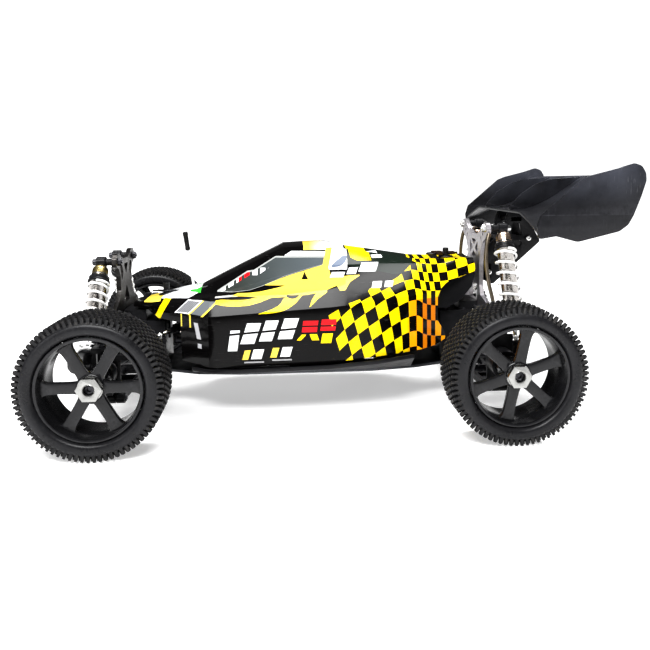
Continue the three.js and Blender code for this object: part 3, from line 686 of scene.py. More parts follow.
def shell_paint():
    """Gloss black, seen through clear plastic, with yellow flames, a chequered flag and angular marks."""
    s = Sketch("shell_paint")
    x, z = s.x, s.z
    side = abs(s.y)
    cloud = s.noise(30, 4)
    black = s.mix(cloud.ramp(0.3, 0.7), (0.002, 0.0018, 0.0019), (0.0036, 0.0031, 0.0033))
    colour = black

    def paint(mask, over):
        nonlocal colour
        colour = s.mix(mask, colour, over)

    # Nose: white on top, a yellow patch at each lower front corner, a green flash below the screen.
    nose_top = x.within(-133, -95) & (z > x.curve([(-133, 101.2), (-118, 102.6), (-105, 103.2),
                                                   (-95, 108)]))
    paint(nose_top, WHITE)
    pale_tip = band(s, [(-147, 97.6), (-140, 98.2), (-131, 99.6)], [(-147, 99), (-140, 100.6), (-131, 103)],
                    False)
    paint(pale_tip, PALE)
    patch = (x - (z - 92) * 0.55).within(-132.6, -126.5) & z.within(85, 102.2)
    paint(patch, YELLOW)
    green = band(s, [(-105, 107.4), (-94, 107.4)], [(-105, 108.2), (-94, 112)], False) & (side > 16)
    paint(green, GREEN)

    # Pod front: a ribbed grey lamp panel, a grey field behind it and two thin outlines.
    slant = x - (z - 97) * 1.1
    lamp = slant.within(-110.5, -97) & z.within(91.6, 102.6)
    ribs = ((slant * 0.55).math("FRACT") > 0.5) * 0.55
    paint(lamp, s.mix(ribs, (0.1, 0.1, 0.105), (0.42, 0.43, 0.45)))
    lamp_edge = lamp & ~(slant.within(-109.6, -98) & z.within(92.4, 101.8))
    paint(lamp_edge, WHITE)
    field = slant.within(-96, -83) & z.within(91.8, 102.4)
    paint(field, (0.13, 0.14, 0.15))
    line = (slant.within(-97, -95.4) | slant.within(-84.6, -82.6)) & z.within(91, 102.4)
    front_lines = (x.within(-110.4, -109.2) | x.within(-102.2, -100.6)) & z.within(80, 91)
    paint(line | front_lines, PALE)
    strip = band(s, [(-80, 104.6), (-60, 105.8)], [(-80, 105.8), (-60, 107.4)])
    paint(strip, (0.45, 0.44, 0.42))
    bars = block(s, -96.5, -92.5, 71, 85, -0.2) | block(s, -94.5, -90.8, 63, 67)
    paint(bars, (0.5, 0.5, 0.52))

    # Cabin side: smoked window in a thin light frame, a light strip above it.
    window_foot = x.curve([(-80, 108.4), (-68, 109), (-50, 110.6), (-38, 114.2), (-20, 121.4), (2, 128.2),
                           (21, 133)])
    window_head = x.curve([(-80, 109), (-52, 126.5), (-46, 127.5), (-26.5, 139.4), (21, 139.2)])
    cabin = (z > window_foot) & (z < window_head) & x.within(-79, 20.5) & (side < 52)
    inner = (z > window_foot + 0.3) & (z < window_head - 1.3) & x.within(-76, 19.3) & (side < 52)
    glass = s.mix(x.ramp(-60, 15), (0.035, 0.04, 0.036), (0.085, 0.1, 0.11))
    paint(cabin, (0.36, 0.37, 0.36))
    paint(inner, glass)
    slope = x.curve([(-80, 108.5), (-50, 126)])
    strip_marks = (x - (z - 117) * 1.5).within(-75, -51) & (abs(z - slope) < 3.2)
    dashes = ((x * 0.14).math("FRACT") > 0.35) & strip_marks & inner
    paint(dashes, s.mix(x.within(-60, -50), WHITE, RED))
    light_strip = band(s, [(-18.5, 139.8), (21, 139.6)], [(-18.5, 139.9), (-12, 143.8), (21, 143.2)], False)
    paint(light_strip & (side > 20), WHITE)

    # Roof and rear quarter: yellow to white, a small blue-grey window, squares behind it.
    roof = (x > -1.0) & (x < 37) & (z > 144.6)
    paint(roof, s.mix(x.ramp(4, 20), PALE, WHITE))
    quarter = (x - (z - 138) * 0.1).within(21.5, 39) & (z > 127.5)
    paint(quarter, WHITE)
    pane = band(s, [(24, 129.4), (31, 130.2), (36, 133), (39, 137)],
                [(24, 131.5), (30, 135.6), (36, 138.8), (39, 138.9)])
    paint(pane, (0.1, 0.13, 0.19))
    hump = x.within(39, 105) & (z > x.curve([(39, 131), (60, 126.5), (80, 122.5), (105, 123)]))
    paint(hump, (0.008, 0.014, 0.01))
    over_edge = z > x.curve([(40, 138), (48, 134.4), (62, 134.2)])
    square = (x + (z - 138) * 0.25).within(42, 60.5) & over_edge
    paint(square & (side > 8), YELLOW)

    # The flag, in yellow turning orange on the narrow rear columns.
    flag_top = x.curve([(17, 90), (27, 96), (36, 101), (50, 105), (57, 112), (72, 115), (84, 120),
                        (92, 125), (100, 131), (110, 150), (165, 150)])
    flag = (z < flag_top) & (x + (z - 75) * 0.3 > 24) & (x > 17)
    rear_columns = s.mix(x.within(104.5, 118), ORANGE, DEEP_ORANGE)
    flag_colour = s.mix(x.ramp(89, 93) & (z < 101.5), YELLOW, rear_columns)
    shards = (block(s, -6.5, -2.5, 70, 75, 0.9) | block(s, 3.5, 9.8, 69.8, 75.2, -0.35)
              | block(s, 13, 22, 67, 75.5, 0.2))
    paint(shards, YELLOW)
    paint(flag & ~chequers(s), black)
    paint(flag & chequers(s), flag_colour)

    # Flames over everything on the pod's top.
    paint(flames(s) & (side > 12), s.mix(z.ramp(96, 112), YELLOW, PALE))

    # Angular marks in place of the names.
    parting = abs(z - x.curve([(-70, 76), (0, 81)])) < 1
    big = (block(s, -66.5, -58.5, 62, 80, 0.15) | block(s, -54, -42, 68, 86, 0.35)
           | block(s, -38, -27, 70, 88, 0.35) | block(s, -22, -9.5, 71.5, 89.5, 0.35)) & ~parting
    small = block(s, -47, -38, 54.5, 63, 0.3) | block(s, -22, -13.5, 56, 64.5, 0.3)
    small_yellow = block(s, -54.5, -49.5, 54.2, 62.4, 0.3) | block(s, -30.5, -25, 55.5, 64, 0.3)
    under = block(s, -54, -37, 51.2, 52.4) | block(s, -30, -13, 52.6, 53.8)
    rear_marks = (block(s, 23, 35, 121, 125.4, 0.5) | block(s, 38.5, 47, 123.5, 129, 0.5)
                  | block(s, 50, 66, 125.2, 132.6, 0.5) | block(s, 59.5, 68, 112.4, 117.4, 0.4)
                  | block(s, 71, 78.5, 112.8, 117.4, 0.4) | block(s, 62, 72, 136, 138.6, -0.3))
    paint(big | small | rear_marks, WHITE)
    paint(small_yellow, PALE)
    paint(under, (0.4, 0.4, 0.41))
    red = block(s, -3.5, 9.5, 77, 87, 0.15) | block(s, 12.5, 25.5, 78, 88, 0.15)
    paint(red & ~block(s, -8, 30, 81.6, 82.9), RED)

    scratches = s.noise(0.8, 2, (14, 14, 1)).ramp(0.68, 0.74)
    paint(scratches * 0.05, (0.4, 0.4, 0.4))
    s.link("Base Color", colour)
    s.link("Roughness", cloud.ramp(0.25, 0.75, 0.1, 0.17) + scratches * 0.12)
    s.bump(s.noise(18, 2), 0.25, 0.35)
    s.set(Specular_IOR_Level=0.12, Coat_Weight=0.05, Coat_Roughness=0.03)
    return s.material


SHELL_PAINT = shell_paint()
SHELL_INSIDE = plastic("shell_inside", (0.008, 0.008, 0.009), 0.4, edge_wear_and_highlight=0.0, specular=0.2)


# ---------------------------------------------------------------- wheels and tyres
TYRE_Y = AXLE["front"].y
WHEEL_CENTRE = {end: Vector((AXLE[end].x, TYRE_Y, AXLE_Z)) for end in ENDS}
OUTWARD = (0, 1, 0)
PIN_ROWS = 76
PIN_COLUMNS = (-14.4, -9.6, -4.8, 0, 4.8, 9.6, 14.4)
PIN = {"radii": (51.1, 55.05), "half_widths": (1.35, 1.05), "half_depths": (1.6, 1.25)}
LUG = {"radii": (49.2, 54.4), "half_widths": (1.3, 0.95), "half_depths": (1.8, 1.1)}
LUG_Y, LUG_LEAN = 17.9, 0.9


def tyre(end):
    """A ribbed carcass set with small square pins and a ring of lugs on each shoulder."""
    centre = WHEEL_CENTRE[end]
    shape = Shape()
    half = [(39.9, 16.2), (40.5, 17.8), (41.4, 19.4), (42.4, 20.3), (43.6, 20.8), (45.6, 21), (47.4, 20.7),
            (49, 20), (49.8, 19.2), (50.3, 18), (50.8, 16), (51.3, 12)]
    profile = [*half, (51.5, 0), *((r, -y) for r, y in reversed(half))]
    shape.turned([*profile, profile[0]], centre, OUTWARD, 128)
    shape.paint = 1
    for row in range(PIN_ROWS):
        for stagger, columns in ((0, PIN_COLUMNS[::2]), (0.5, PIN_COLUMNS[1::2])):
            turn = TAU * (row + stagger) / PIN_ROWS
            for y in columns:
                knob(shape, centre, turn, y, 0, **PIN)
        for side in (1, -1):
            turn = TAU * (row + 0.5) / PIN_ROWS
            knob(shape, centre, turn, side * LUG_Y, side * LUG_LEAN, **LUG)
    return shape


def knob(shape, centre, turn, y, lean, radii, half_widths, half_depths):
    """A tapered block on the tread: foot and top, with the top leaning sideways."""
    out = Vector((math.sin(turn), 0, math.cos(turn)))
    along = Vector((math.cos(turn), 0, -math.sin(turn)))
    across = Vector((0, 1, 0))
    rings = []
    for level, (radius, width, depth) in enumerate(zip(radii, half_widths, half_depths)):
        middle = centre + out * radius + across * (y + lean * level)
        rings.append([middle + along * (a * width) + across * (b * depth)
                      for a, b in ((-1, -1), (1, -1), (1, 1), (-1, 1))])
    shape.rings(rings)


SPOKE_TURN = {"front": 0, "rear": -math.pi / 10}
SPOKE_COUNT = 6


def spoke_outline():
    """Half widths along a spoke, straight through the middle and flared into the rim."""
    half = [(8.5, 5.6), (10.5, 4.9), (13, 4.5), (20, 4.35), (28, 4.4), (32, 4.7), (34.4, 5.5), (35.9, 6.8),
            (37, 8.4)]
    return [*half, *((r, -w) for r, w in reversed(half))]


def wheel(end):
    """The rim, its hub and six dished spokes, each with a rib behind it."""
    centre = WHEEL_CENTRE[end]
    rim = [(36.7, 14), (37, 18.2), (37.4, 19.2), (38, 19.5), (39.3, 19.5), (39.8, 19), (39.8, 17.8),
           (38.4, 17.2), (38.2, 16), (38.2, 6), (37.8, 5), (37.8, -5), (38.2, -6), (38.2, -16.6),
           (39.8, -17.4), (39.8, -18.8), (39.2, -19.2), (37.6, -19.2), (37, -18.4), (36.6, -2), (36.1, 2),
           (36.1, 12.4), (36.7, 14)]
    hub = [(0, -14.4), (8.6, -14.4), (8.6, -8.5), (9.4, -8.5), (10, -7.6), (10, 5), (10.8, 6.4), (11.2, 8),
           (11.2, 11.4), (10.6, 12.4), (9.9, 12.8), (9.9, 13.4), (4.2, 13.5), (4.2, 12), (0, 12)]
    shape = Shape()
    shape.turned(rim, centre, OUTWARD, 120)
    shape.turned(hub, centre, OUTWARD, 48)
    shape.bevel = 0.9
    for k in range(SPOKE_COUNT):
        angle = SPOKE_TURN[end] + TAU * k / SPOKE_COUNT
        shape.matrix = Matrix.Translation(centre) @ Matrix.Rotation(angle, 4, "Y")
        shape.prism("y", spoke_outline(), 7.4, 12.3)
        shape.prism("y", [(36.4, -1.2), (36.4, 1.2), (10, 1.6), (10, -1.6)], 2.5, 8)
    return shape


NUT_FLATS = 17


def wheel_nut(end):
    """The 17 mm hex nut that holds the wheel, with its flange and the bright edge of its bore."""
    centre = WHEEL_CENTRE[end]
    shape = Shape()
    hexagon = ring_outline(0, 0, NUT_FLATS / 2 / math.cos(math.pi / 6), 6)
    shape.matrix = Matrix.Translation(centre)
    shape.bevel = 0.55
    shape.prism("y", rounded(hexagon, 0.8, 2), 13.8, 18.6, [ring_outline(0, 0, 4.6, 28)])
    shape.matrix = Matrix()
    shape.bevel = 0
    shape.turned([(9.4, 13.3), (9.7, 13.6), (9.4, 14.2), (5, 14.3), (5, 13.3), (9.4, 13.3)],
                 centre, OUTWARD, 40)
    shape.turned([(4.62, 14), (4.75, 17.9), (4.1, 18.3), (4, 17.6), (4, 14), (4.62, 14)],
                 centre, OUTWARD, 32)
    return shape


def axle_end(end):
    """The axle, with its last threads showing in the nut."""
    thread = [(0, -30.5), (5, -30.5), (5, -14.6), (3.4, -14.6), (3.4, 12.2)]
    for k in range(4):
        thread += [(3.4, 12.4 + k * 0.75), (3.75, 12.75 + k * 0.75)]
    thread += [(3.3, 15.6), (2.1, 15.8), (1.7, 14), (0, 13.9)]
    return Shape().turned(thread, WHEEL_CENTRE[end], OUTWARD, 24)


def hex_drive(end):
    """The hex block that drives the wheel from behind."""
    shape = Shape(0.4)
    shape.matrix = Matrix.Translation(WHEEL_CENTRE[end])
    return shape.prism("y", ring_outline(0, 0, 9.6, 6), -14.9, -8.6)


each_side(tyre, "E_tread_S", "E_wheel_S", [SIDEWALL, TREAD], ["E_tyre_S"])
each_side(wheel, "E_rim_S", "E_wheel_S", [WHEEL_BLACK], ["E_wheel_S"])
each_side(wheel_nut, "E_wheel_nut_S", "E_wheel_S", [NUT_STEEL])
each_side(axle_end, "E_axle_S", "E_wheel_S", [DARK_STEEL])
each_side(hex_drive, "E_wheel_hex_S", "E_wheel_S", [DARK_STEEL])


# ---------------------------------------------------------------- fasteners
def screw(shape, point, axis, radius, height, countersunk=False):
    """A socket screw's head standing on a face at point, along axis."""
    socket = radius * 0.5
    if countersunk:
        profile = [(0, -0.6), (radius, -0.2), (radius, 0.35), (socket, 0.4), (socket * 0.95, -0.3),
                   (0, -0.35)]
    else:
        profile = [(0, -0.6), (radius * 0.98, -0.6), (radius, height * 0.4), (radius * 0.86, height * 0.85),
                   (radius * 0.6, height), (socket, height), (socket * 0.95, height * 0.25),
                   (0, height * 0.2)]
    return shape.turned(profile, point, axis, 20)


def nut(shape, point, axis, radius, height):
    """A locknut standing on a face, with the end of its bolt."""
    shape.turned([(0, -0.4), (radius, -0.4), (radius, height * 0.8), (radius * 0.88, height),
                  (radius * 0.5, height), (radius * 0.5, height - 0.6), (0, height - 0.6)], point, axis, 6)
    return shape.rod(Vector(point), Vector(point) + Vector(axis) * (height + 0.8), radius * 0.44, 14)


# ---------------------------------------------------------------- dampers
TOWER_THICK = 4
TOWER_X = {"front": -168.5, "rear": 168}
BOLT = {"front": [DARK_STEEL], "rear": [STEEL]}
DAMPER_X = {end: car(node_centre(f"{end}_damper_shaft_right")).x for end in ENDS}
DAMPER_EYE = {end: pivot(f"{end}_damper_body_right_swing") for end in ENDS}
FOOT_YZ = (88, 54)
FOOT_STACK = 14
COLLAR_AT = 21
SHAFT_SHOWN = 28
BARREL_PITCH = 1.1
COIL = {"front": {"wire": 1.05, "radius": 8.65, "free_turns": 7.4},
        "rear": {"wire": 1.15, "radius": 9.3, "free_turns": 7.8}}
COIL_END_TURNS = 0.9
COIL_STEPS = 22


def damper_line(end):
    """The damper's upper eye, the direction to its foot, and its length."""
    top = Vector((DAMPER_X[end], DAMPER_EYE[end].y, DAMPER_EYE[end].z))
    foot = Vector((DAMPER_X[end], *FOOT_YZ))
    return top, foot, (foot - top).normalized(), (foot - top).length


def damper_eye(shape, centre, bore):
    """The moulded ring at either end of a damper."""
    shape.turned([(bore, -4), (4.5, -4), (5, -3.5), (5, 3.5), (4.5, 4), (bore, 4), (bore, -4)],
                 centre, (1, 0, 0), 28)


def damper_cap(end):
    """The machined top cap: a domed shoulder, a smooth skirt and a grooved foot."""
    top, _, along, _ = damper_line(end)
    return Shape().turned([(0, 4.6), (3.4, 4.7), (5.2, 5.4), (6.3, 6.8), (6.8, 8.6), (6.9, 12.6),
                           (6.5, 12.9), (6.5, 13.4), (7, 13.7), (7.1, 15.2), (6.6, 15.6), (0, 15.6)],
                          top, along, 48)


def damper_top_eye(end):
    """The plastic eye that the cap hangs from, with its bushing."""
    top, _, along, _ = damper_line(end)
    shape = Shape()
    damper_eye(shape, top, 2.2)
    return shape.turned([(0, 3), (3.6, 3), (3.9, 5.2), (0, 5.2)], top, along, 24)


def damper_barrel(end):
    """The threaded barrel, bright between the coils."""
    top, _, along, length = damper_line(end)
    body_end = length - FOOT_STACK - SHAFT_SHOWN
    thread = [(0, 13), (7.1, 13), (7.1, 14.4)]
    for k in range(int((body_end - 19) / BARREL_PITCH)):
        thread += [(7.05, 14.8 + k * BARREL_PITCH), (7.4, 15.3 + k * BARREL_PITCH)]
    thread += [(7.1, body_end - 3.6), (7.4, body_end - 3.2), (7.4, body_end - 0.6), (6.9, body_end),
               (0, body_end)]
    return Shape().turned(thread, top, along, 40)


def damper_collar(end):
    """The spring's upper seat: a black notched ring with a lip, screwed up against the cap."""
    top, _, along, _ = damper_line(end)
    shape = Shape()
    shape.turned([(6.9, 15.4), (8.2, 15.4), (8.6, 15.8), (8.6, 17.8), (8.3, 18.2), (8.3, 18.8), (9.2, 19.2),
                  (9.4, 19.6), (9.4, 20.8), (9.1, 21), (6.9, 21), (6.9, 15.4)], top, along, 44)
    place_here = axis_frame(top, along)
    for notch in ring_outline(0, 0, 8.35, 12):
        spot = place_here @ Vector((*notch, 15.8))
        shape.rod(spot, spot + along * 2.1, 0.55, 6)
    return shape


def damper_foot(end):
    """The spring's lower seat and the plastic ball end."""
    top, foot, along, length = damper_line(end)
    seat = length - FOOT_STACK
    shape = Shape()
    shape.turned([(0, seat - 0.2), (6.6, seat - 0.2), (6.9, seat), (8.9, seat), (9.2, seat + 0.4),
                  (9.2, seat + 1.8), (8.6, seat + 2.4), (5, seat + 3), (4.4, seat + 4), (4.3, length - 4.4),
                  (3.6, length - 3), (0, length - 3)], top, along, 36)
    damper_eye(shape, foot, 2.4)
    return shape


def damper_shaft(end):
    """The polished rod between barrel and foot."""
    top, _, along, length = damper_line(end)
    start, stop = length - FOOT_STACK - SHAFT_SHOWN - 8, length - FOOT_STACK + 1
    return Shape().turned([(0, start), (1.8, start), (1.8, stop), (0, stop)], top, along, 20)


def coil_spring(end):
    """A wire helix with its end coils closed, and the two points on its axis where it starts and stops."""
    top, _, along, length = damper_line(end)
    wire, radius, free_turns = COIL[end].values()
    start, stop = COLLAR_AT + wire + 0.25, length - FOOT_STACK - wire - 0.25
    total = free_turns + 2 * COIL_END_TURNS
    place_here = axis_frame(top, along)
    flat_rise = 2.1 * wire * COIL_END_TURNS
    path = []
    for k in range(int(total * COIL_STEPS) + 1):
        turn = k / COIL_STEPS
        if turn < COIL_END_TURNS:
            height = start + flat_rise * (turn / COIL_END_TURNS) ** 1.4
        elif turn > total - COIL_END_TURNS:
            height = stop - flat_rise * ((total - turn) / COIL_END_TURNS) ** 1.4
        else:
            share = (turn - COIL_END_TURNS) / free_turns
            height = start + flat_rise + (stop - start - 2 * flat_rise) * share
        angle = TAU * turn
        path.append(place_here @ Vector((radius * math.cos(angle), radius * math.sin(angle), height)))
    return Shape().tube(path, wire), place_here @ Vector((0, 0, start)), place_here @ Vector((0, 0, stop))


def damper_bolt(end):
    """The bolt at the tower's ear, with its outer head and its nut behind the tower."""
    top = damper_line(end)[0]
    away = DIRECTION[end]
    shape = Shape()
    shape.turned([(0, 4.1), (3.4, 4.1), (3.4, 4.9), (2.9, 5), (2.9, 7), (2.3, 7.6), (0, 7.6)],
                 top, (away, 0, 0), 24)
    behind = Vector((TOWER_X[end] - away * TOWER_THICK / 2, top.y, top.z))
    shape.rod(top + Vector((away * 4.2, 0, 0)), behind, 1.9, 16)
    nut(shape, behind, (-away, 0, 0), 3.5, 3.2)
    return shape


def damper_spacer(end):
    """The sleeve between the tower and the damper's eye."""
    top = damper_line(end)[0]
    away = DIRECTION[end]
    face = TOWER_X[end] + away * TOWER_THICK / 2
    reach = abs(top.x - face) - 4.1
    return Shape().turned([(2, 0), (4.3, 0), (4.3, 1.2), (3.1, 1.8), (3.1, reach - 0.1), (2, reach - 0.1),
                           (2, 0)], (face, top.y, top.z), (away, 0, 0), 24)


def foot_pin(end):
    """The bolt and nut that hold the damper's foot to the arm's lug."""
    foot = damper_line(end)[1]
    away = DIRECTION[end]
    shape = Shape()
    shape.rod(foot - Vector((away * 9.6, 0, 0)), foot + Vector((away * 4.6, 0, 0)), 1.9, 16)
    screw(shape, foot + Vector((away * 4.4, 0, 0)), (away, 0, 0), 3.1, 2)
    nut(shape, foot - Vector((away * 9.6, 0, 0)), (-away, 0, 0), 3, 2.2)
    return shape


each_side(damper_cap, "E_damper_cap_S", "E_damper_body_S", CAP_ALLOY)
each_side(damper_top_eye, "E_damper_eye_S", "E_damper_body_S", [BLACK])
each_side(damper_barrel, "E_damper_barrel_S", "E_damper_body_S", [DAMPER_ALLOY],
          ["E_damper_body_S"])
each_side(damper_collar, "E_damper_collar_S", "E_damper_body_S", [BLACK])
each_side(damper_shaft, "E_damper_rod_S", "E_damper_shaft_S", [STEEL],
          ["E_damper_shaft_S"])
each_side(damper_foot, "E_damper_foot_S", "E_damper_shaft_S", [BLACK])
each_side(damper_bolt, "E_damper_bolt_S", "chassis", BOLT)
each_side(damper_spacer, "E_damper_spacer_S", "chassis", [BLACK])
each_side(foot_pin, "E_damper_foot_bolt_S", "E_lower_arm_S", [DARK_STEEL])

for end in ENDS:
    for side, sign in SIDES:
        shape, start, stop = coil_spring(end)
        node = f"{end}_spring_{side}"
        coil = finish(shape, f"{end}_coil_{side}", None, [SPRING_WHITE], [node], sign < 0)
        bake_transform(coil)


# ---------------------------------------------------------------- links
def ball_joint(cups, studs, centre, axis):
    """A plastic ball cup, and in a shape of their own the ball and its stud."""
    cups.turned([(2.6, -3.3), (3.6, -3.3), (4.4, -2.5), (4.4, 2.5), (3.6, 3.3), (2.6, 3.3), (3.3, 0),
                 (2.6, -3.3)], centre, axis, 28)
    studs.ball(centre, 3)
    reach = Vector(axis) * 4.5
    studs.rod(centre - reach, centre + reach, 1.6, 14)


ROD_R = 1.9
ROD_PITCH = 0.9


def rod_thread(start, stop):
    """The thread's profile from start up to stop along the rod."""
    points = []
    while start < stop:
        points += [(ROD_R, start), (ROD_R - 0.25, start + ROD_PITCH / 2)]
        start += ROD_PITCH
    return points


def turnbuckle(inner, outer, axis):
    """A threaded steel rod with a hex middle, plastic cups on its ends, and the balls in them."""
    inner, outer = Vector(inner), Vector(outer)
    along = (outer - inner).normalized()
    length = (outer - inner).length
    middle = length / 2
    cups, rod, studs = Shape(), Shape(), Shape()
    for centre, way in ((inner, along), (outer, -along)):
        ball_joint(cups, studs, centre, axis)
        cups.turned([(0, 3), (2.9, 3), (2.9, 5), (2.7, length * 0.24), (2.3, length * 0.26),
                     (0, length * 0.26)], centre, way, 20)
    rod.turned([(0, length * 0.2), (ROD_R, length * 0.2), *rod_thread(length * 0.25, middle - 4.5),
                (ROD_R, middle - 4), (ROD_R, middle + 4), *rod_thread(middle + 4.5, length * 0.75),
                (ROD_R, length * 0.8), (0, length * 0.8)], inner, along, 18)
    rod.turned([(0, middle - 3.6), (2.9, middle - 3.6), (3.2, middle - 3.2), (3.2, middle + 3.2),
                (2.9, middle + 3.6), (0, middle + 3.6)], inner, along, 6)
    return cups, rod, studs


def add_turnbuckle(name, inner, outer, axis, mirror):
    """A turnbuckle's three pieces on the body of its own name."""
    cups, rod, studs = turnbuckle(inner, outer, axis)
    finish(rod, f"{name}_rod", name, [STEEL], [name], mirror)
    finish(cups, f"{name}_cups", name, [BLACK], (), mirror)
    finish(studs, f"{name}_balls", name, [STEEL], (), mirror)


LINK_INNER, LINK_OUTER = (42, 88), (94, 84)
LINK_BACK = 4.5
TIE_INNER, TIE_OUTER = (-119, 12, 71.8), (-134, 102, 76.4)
for side, sign in SIDES:
    for end in ENDS:
        x = AXLE[end].x - DIRECTION[end] * LINK_BACK
        add_turnbuckle(f"{end}_upper_link_{side}", (x, *LINK_INNER), (x, *LINK_OUTER), (1, 0, 0), sign < 0)
    add_turnbuckle(f"tie_rod_{side}", TIE_INNER, TIE_OUTER, (0, 0, 1), sign < 0)


# ---------------------------------------------------------------- lower arms
ARM_INNER, ARM_OUTER = (31, 42), (97, 33)
ARM_SPAN, ARM_DROP = ARM_OUTER[0] - ARM_INNER[0], ARM_OUTER[1] - ARM_INNER[1]
ARM_LENGTH, ARM_TILT = math.hypot(ARM_SPAN, ARM_DROP), math.atan2(ARM_DROP, ARM_SPAN)


def arm_matrix(end):
    """Takes an arm drawn flat along +Y, with its inner pivot at the origin, to its place."""
    return Matrix.Translation((AXLE[end].x, *ARM_INNER)) @ Matrix.Rotation(ARM_TILT, 4, "X")


def lower_arm(end):
    """A moulded arm: thin web, deep edge and cross ribs, bosses at both ends and a damper lug."""
    end_rib = ARM_LENGTH - 8
    shape = Shape(0.55)
    shape.matrix = arm_matrix(end)
    web = rounded([(-21.5, 2), (21.5, 2), (14, end_rib), (-14, end_rib)], 1.5, 2)
    windows = [rounded([(-13, 12), (-2.5, 12), (-2.5, 24), (-11.5, 24)], 2, 3),
               rounded([(2.5, 12), (13, 12), (11.5, 24), (2.5, 24)], 2, 3)]
    shape.prism("z", web, -3.2, -1.2, windows)
    for s in (-1, 1):
        shape.prism("z", [(s * 22, 0), (s * 18.6, 0), (s * 11.2, end_rib), (s * 14, end_rib)], -3.5, 3)
    shape.prism("z", [(-1.4, 0), (1.4, 0), (1.4, end_rib), (-1.4, end_rib)], -3.5, 2)
    for start, stop, half in ((8.5, 11, 20), (26, 28.2, 17.5), (42, 44.2, 15.5),
                              (end_rib - 4, end_rib, 13.8)):
        shape.prism("z", [(-half, start), (half, start), (half, stop), (-half, stop)], -3.4, 2.4)
    shape.bevel = 0
    shape.turned([(2, -23), (4.3, -23), (4.8, -22.5), (4.8, 22.5), (4.3, 23), (2, 23), (2, -23)],
                 (0, 0, 0), (1, 0, 0), 28)
    for x in (-14, 7):
        shape.turned([(2, 0), (4.2, 0), (4.6, 0.4), (4.6, 6.6), (4.2, 7), (2, 7), (2, 0)],
                     (x, ARM_LENGTH, 0), (1, 0, 0), 28)
        shape.box(x, x + 7, end_rib - 4, ARM_LENGTH - 3.4, -3.5, 3.5)
    return shape


def damper_lug(end):
    """The upright lug that the damper's foot bolts to."""
    foot = Vector((DAMPER_X[end], *FOOT_YZ))
    away = DIRECTION[end]
    x0, x1 = sorted((foot.x - away * 4.7, foot.x - away * 9.7))
    shape = Shape(0.6)
    base_z = ARM_INNER[1] + ARM_DROP * (foot.y - ARM_INNER[0]) / ARM_SPAN
    outline = [(foot.y - 6.5, base_z + 0.5), (foot.y + 5, base_z - 1), (foot.y + 3.6, foot.z - 3),
               (foot.y + 3.9, foot.z + 2), (foot.y + 2, foot.z + 4.2), (foot.y - 2, foot.z + 4.2),
               (foot.y - 3.9, foot.z + 2), (foot.y - 4, foot.z - 5)]
    shape.prism("x", rounded(outline, 1.5, 3), x0, x1)
    return shape


def outer_pin(end):
    """The pin between arm and upright, with a clip at each end."""
    shape = Shape()
    shape.matrix = arm_matrix(end)
    shape.rod((-15.6, ARM_LENGTH, 0), (15.6, ARM_LENGTH, 0), 1.9, 18)
    for s in (-1, 1):
        shape.turned([(1.9, 0), (3.1, 0), (3.1, 0.7), (1.9, 0.7), (1.9, 0)],
                     (s * 14.2, ARM_LENGTH, 0), (s, 0, 0), 16)
    return shape


each_side(lower_arm, "E_lower_arm_S_moulding", "E_lower_arm_S", [BLACK], ["E_lower_arm_S"])
each_side(damper_lug, "E_lower_arm_S_lug", "E_lower_arm_S", [BLACK])
each_side(outer_pin, "E_lower_arm_S_outer_pin", "E_lower_arm_S", [DARK_STEEL])


# ---------------------------------------------------------------- uprights and drive shafts
KINGPIN_Y = 107
BEARING_Y = 115.2
UPRIGHT_BEVEL = 0.6


def king_pins(end):
    """The two screws that the knuckle turns on."""
    shape = Shape()
    for z, way in ((77.5, 1), (39.2, -1)):
        screw(shape, (AXLE[end].x, KINGPIN_Y, z), (0, 0, way), 3, 2.2)
    return shape


def bearing(end):
    """The outer bearing's face, standing a little proud of the upright."""
    return Shape().turned([(5.4, 0), (8, 0), (8.2, 0.25), (8.2, 0.7), (5.4, 0.7), (5.4, 0)],
                          (AXLE[end].x, BEARING_Y, AXLE_Z), OUTWARD, 36)


for side, _ in SIDES:
    for node, name in ((f"front_caster_block_{side}", f"front_caster_{side}"),
                       (f"front_steering_knuckle_{side}", f"front_knuckle_{side}"),
                       (f"rear_hub_carrier_{side}", f"rear_hub_{side}")):
        refined(node, name, node, [BLACK], UPRIGHT_BEVEL)
each_side(king_pins, "E_king_pins_S", "E_caster_block_S", [DARK_STEEL], ends=["front"])
each_side(bearing, "E_bearing_S", "E_steering_knuckle_S", [STEEL], ends=["front"])
each_side(bearing, "E_bearing_S", "E_hub_carrier_S", [STEEL], ends=["rear"])


DIFF_X = {"front": -150, "rear": 152}
SHAFT_Y = (27, 92.5)


def drive_shaft(end):
    """A dogbone: a waisted shaft with a ball at each end and a cross pin in the outer one."""
    inner = Vector((DIFF_X[end], SHAFT_Y[0], AXLE_Z))
    outer = Vector((AXLE[end].x, SHAFT_Y[1], AXLE_Z))
    along = (outer - inner).normalized()
    length = (outer - inner).length
    shape = Shape()
    shape.turned([(0, 3), (2.3, 3), (2.3, 10), (2.7, 11.5), (2.7, length - 12), (2.3, length - 10.5),
                  (2.3, length - 3), (0, length - 3)], inner, along, 24)
    shape.ball(inner, 4.3, 24, 12)
    shape.ball(outer, 4.8, 24, 12)
    side = along.cross(Vector((0, 0, 1))).normalized()
    shape.rod(outer - side * 5.6, outer + side * 5.6, 1.2, 12)
    return shape


each_side(drive_shaft, "E_drive_shaft_S_bone", "E_drive_shaft_S", [GEAR_STEEL],
          ["E_drive_shaft_S"])


# ---------------------------------------------------------------- towers
def tower_faces(end):
    """Where a tower plate starts and stops along the car."""
    return TOWER_X[end] - TOWER_THICK / 2, TOWER_X[end] + TOWER_THICK / 2


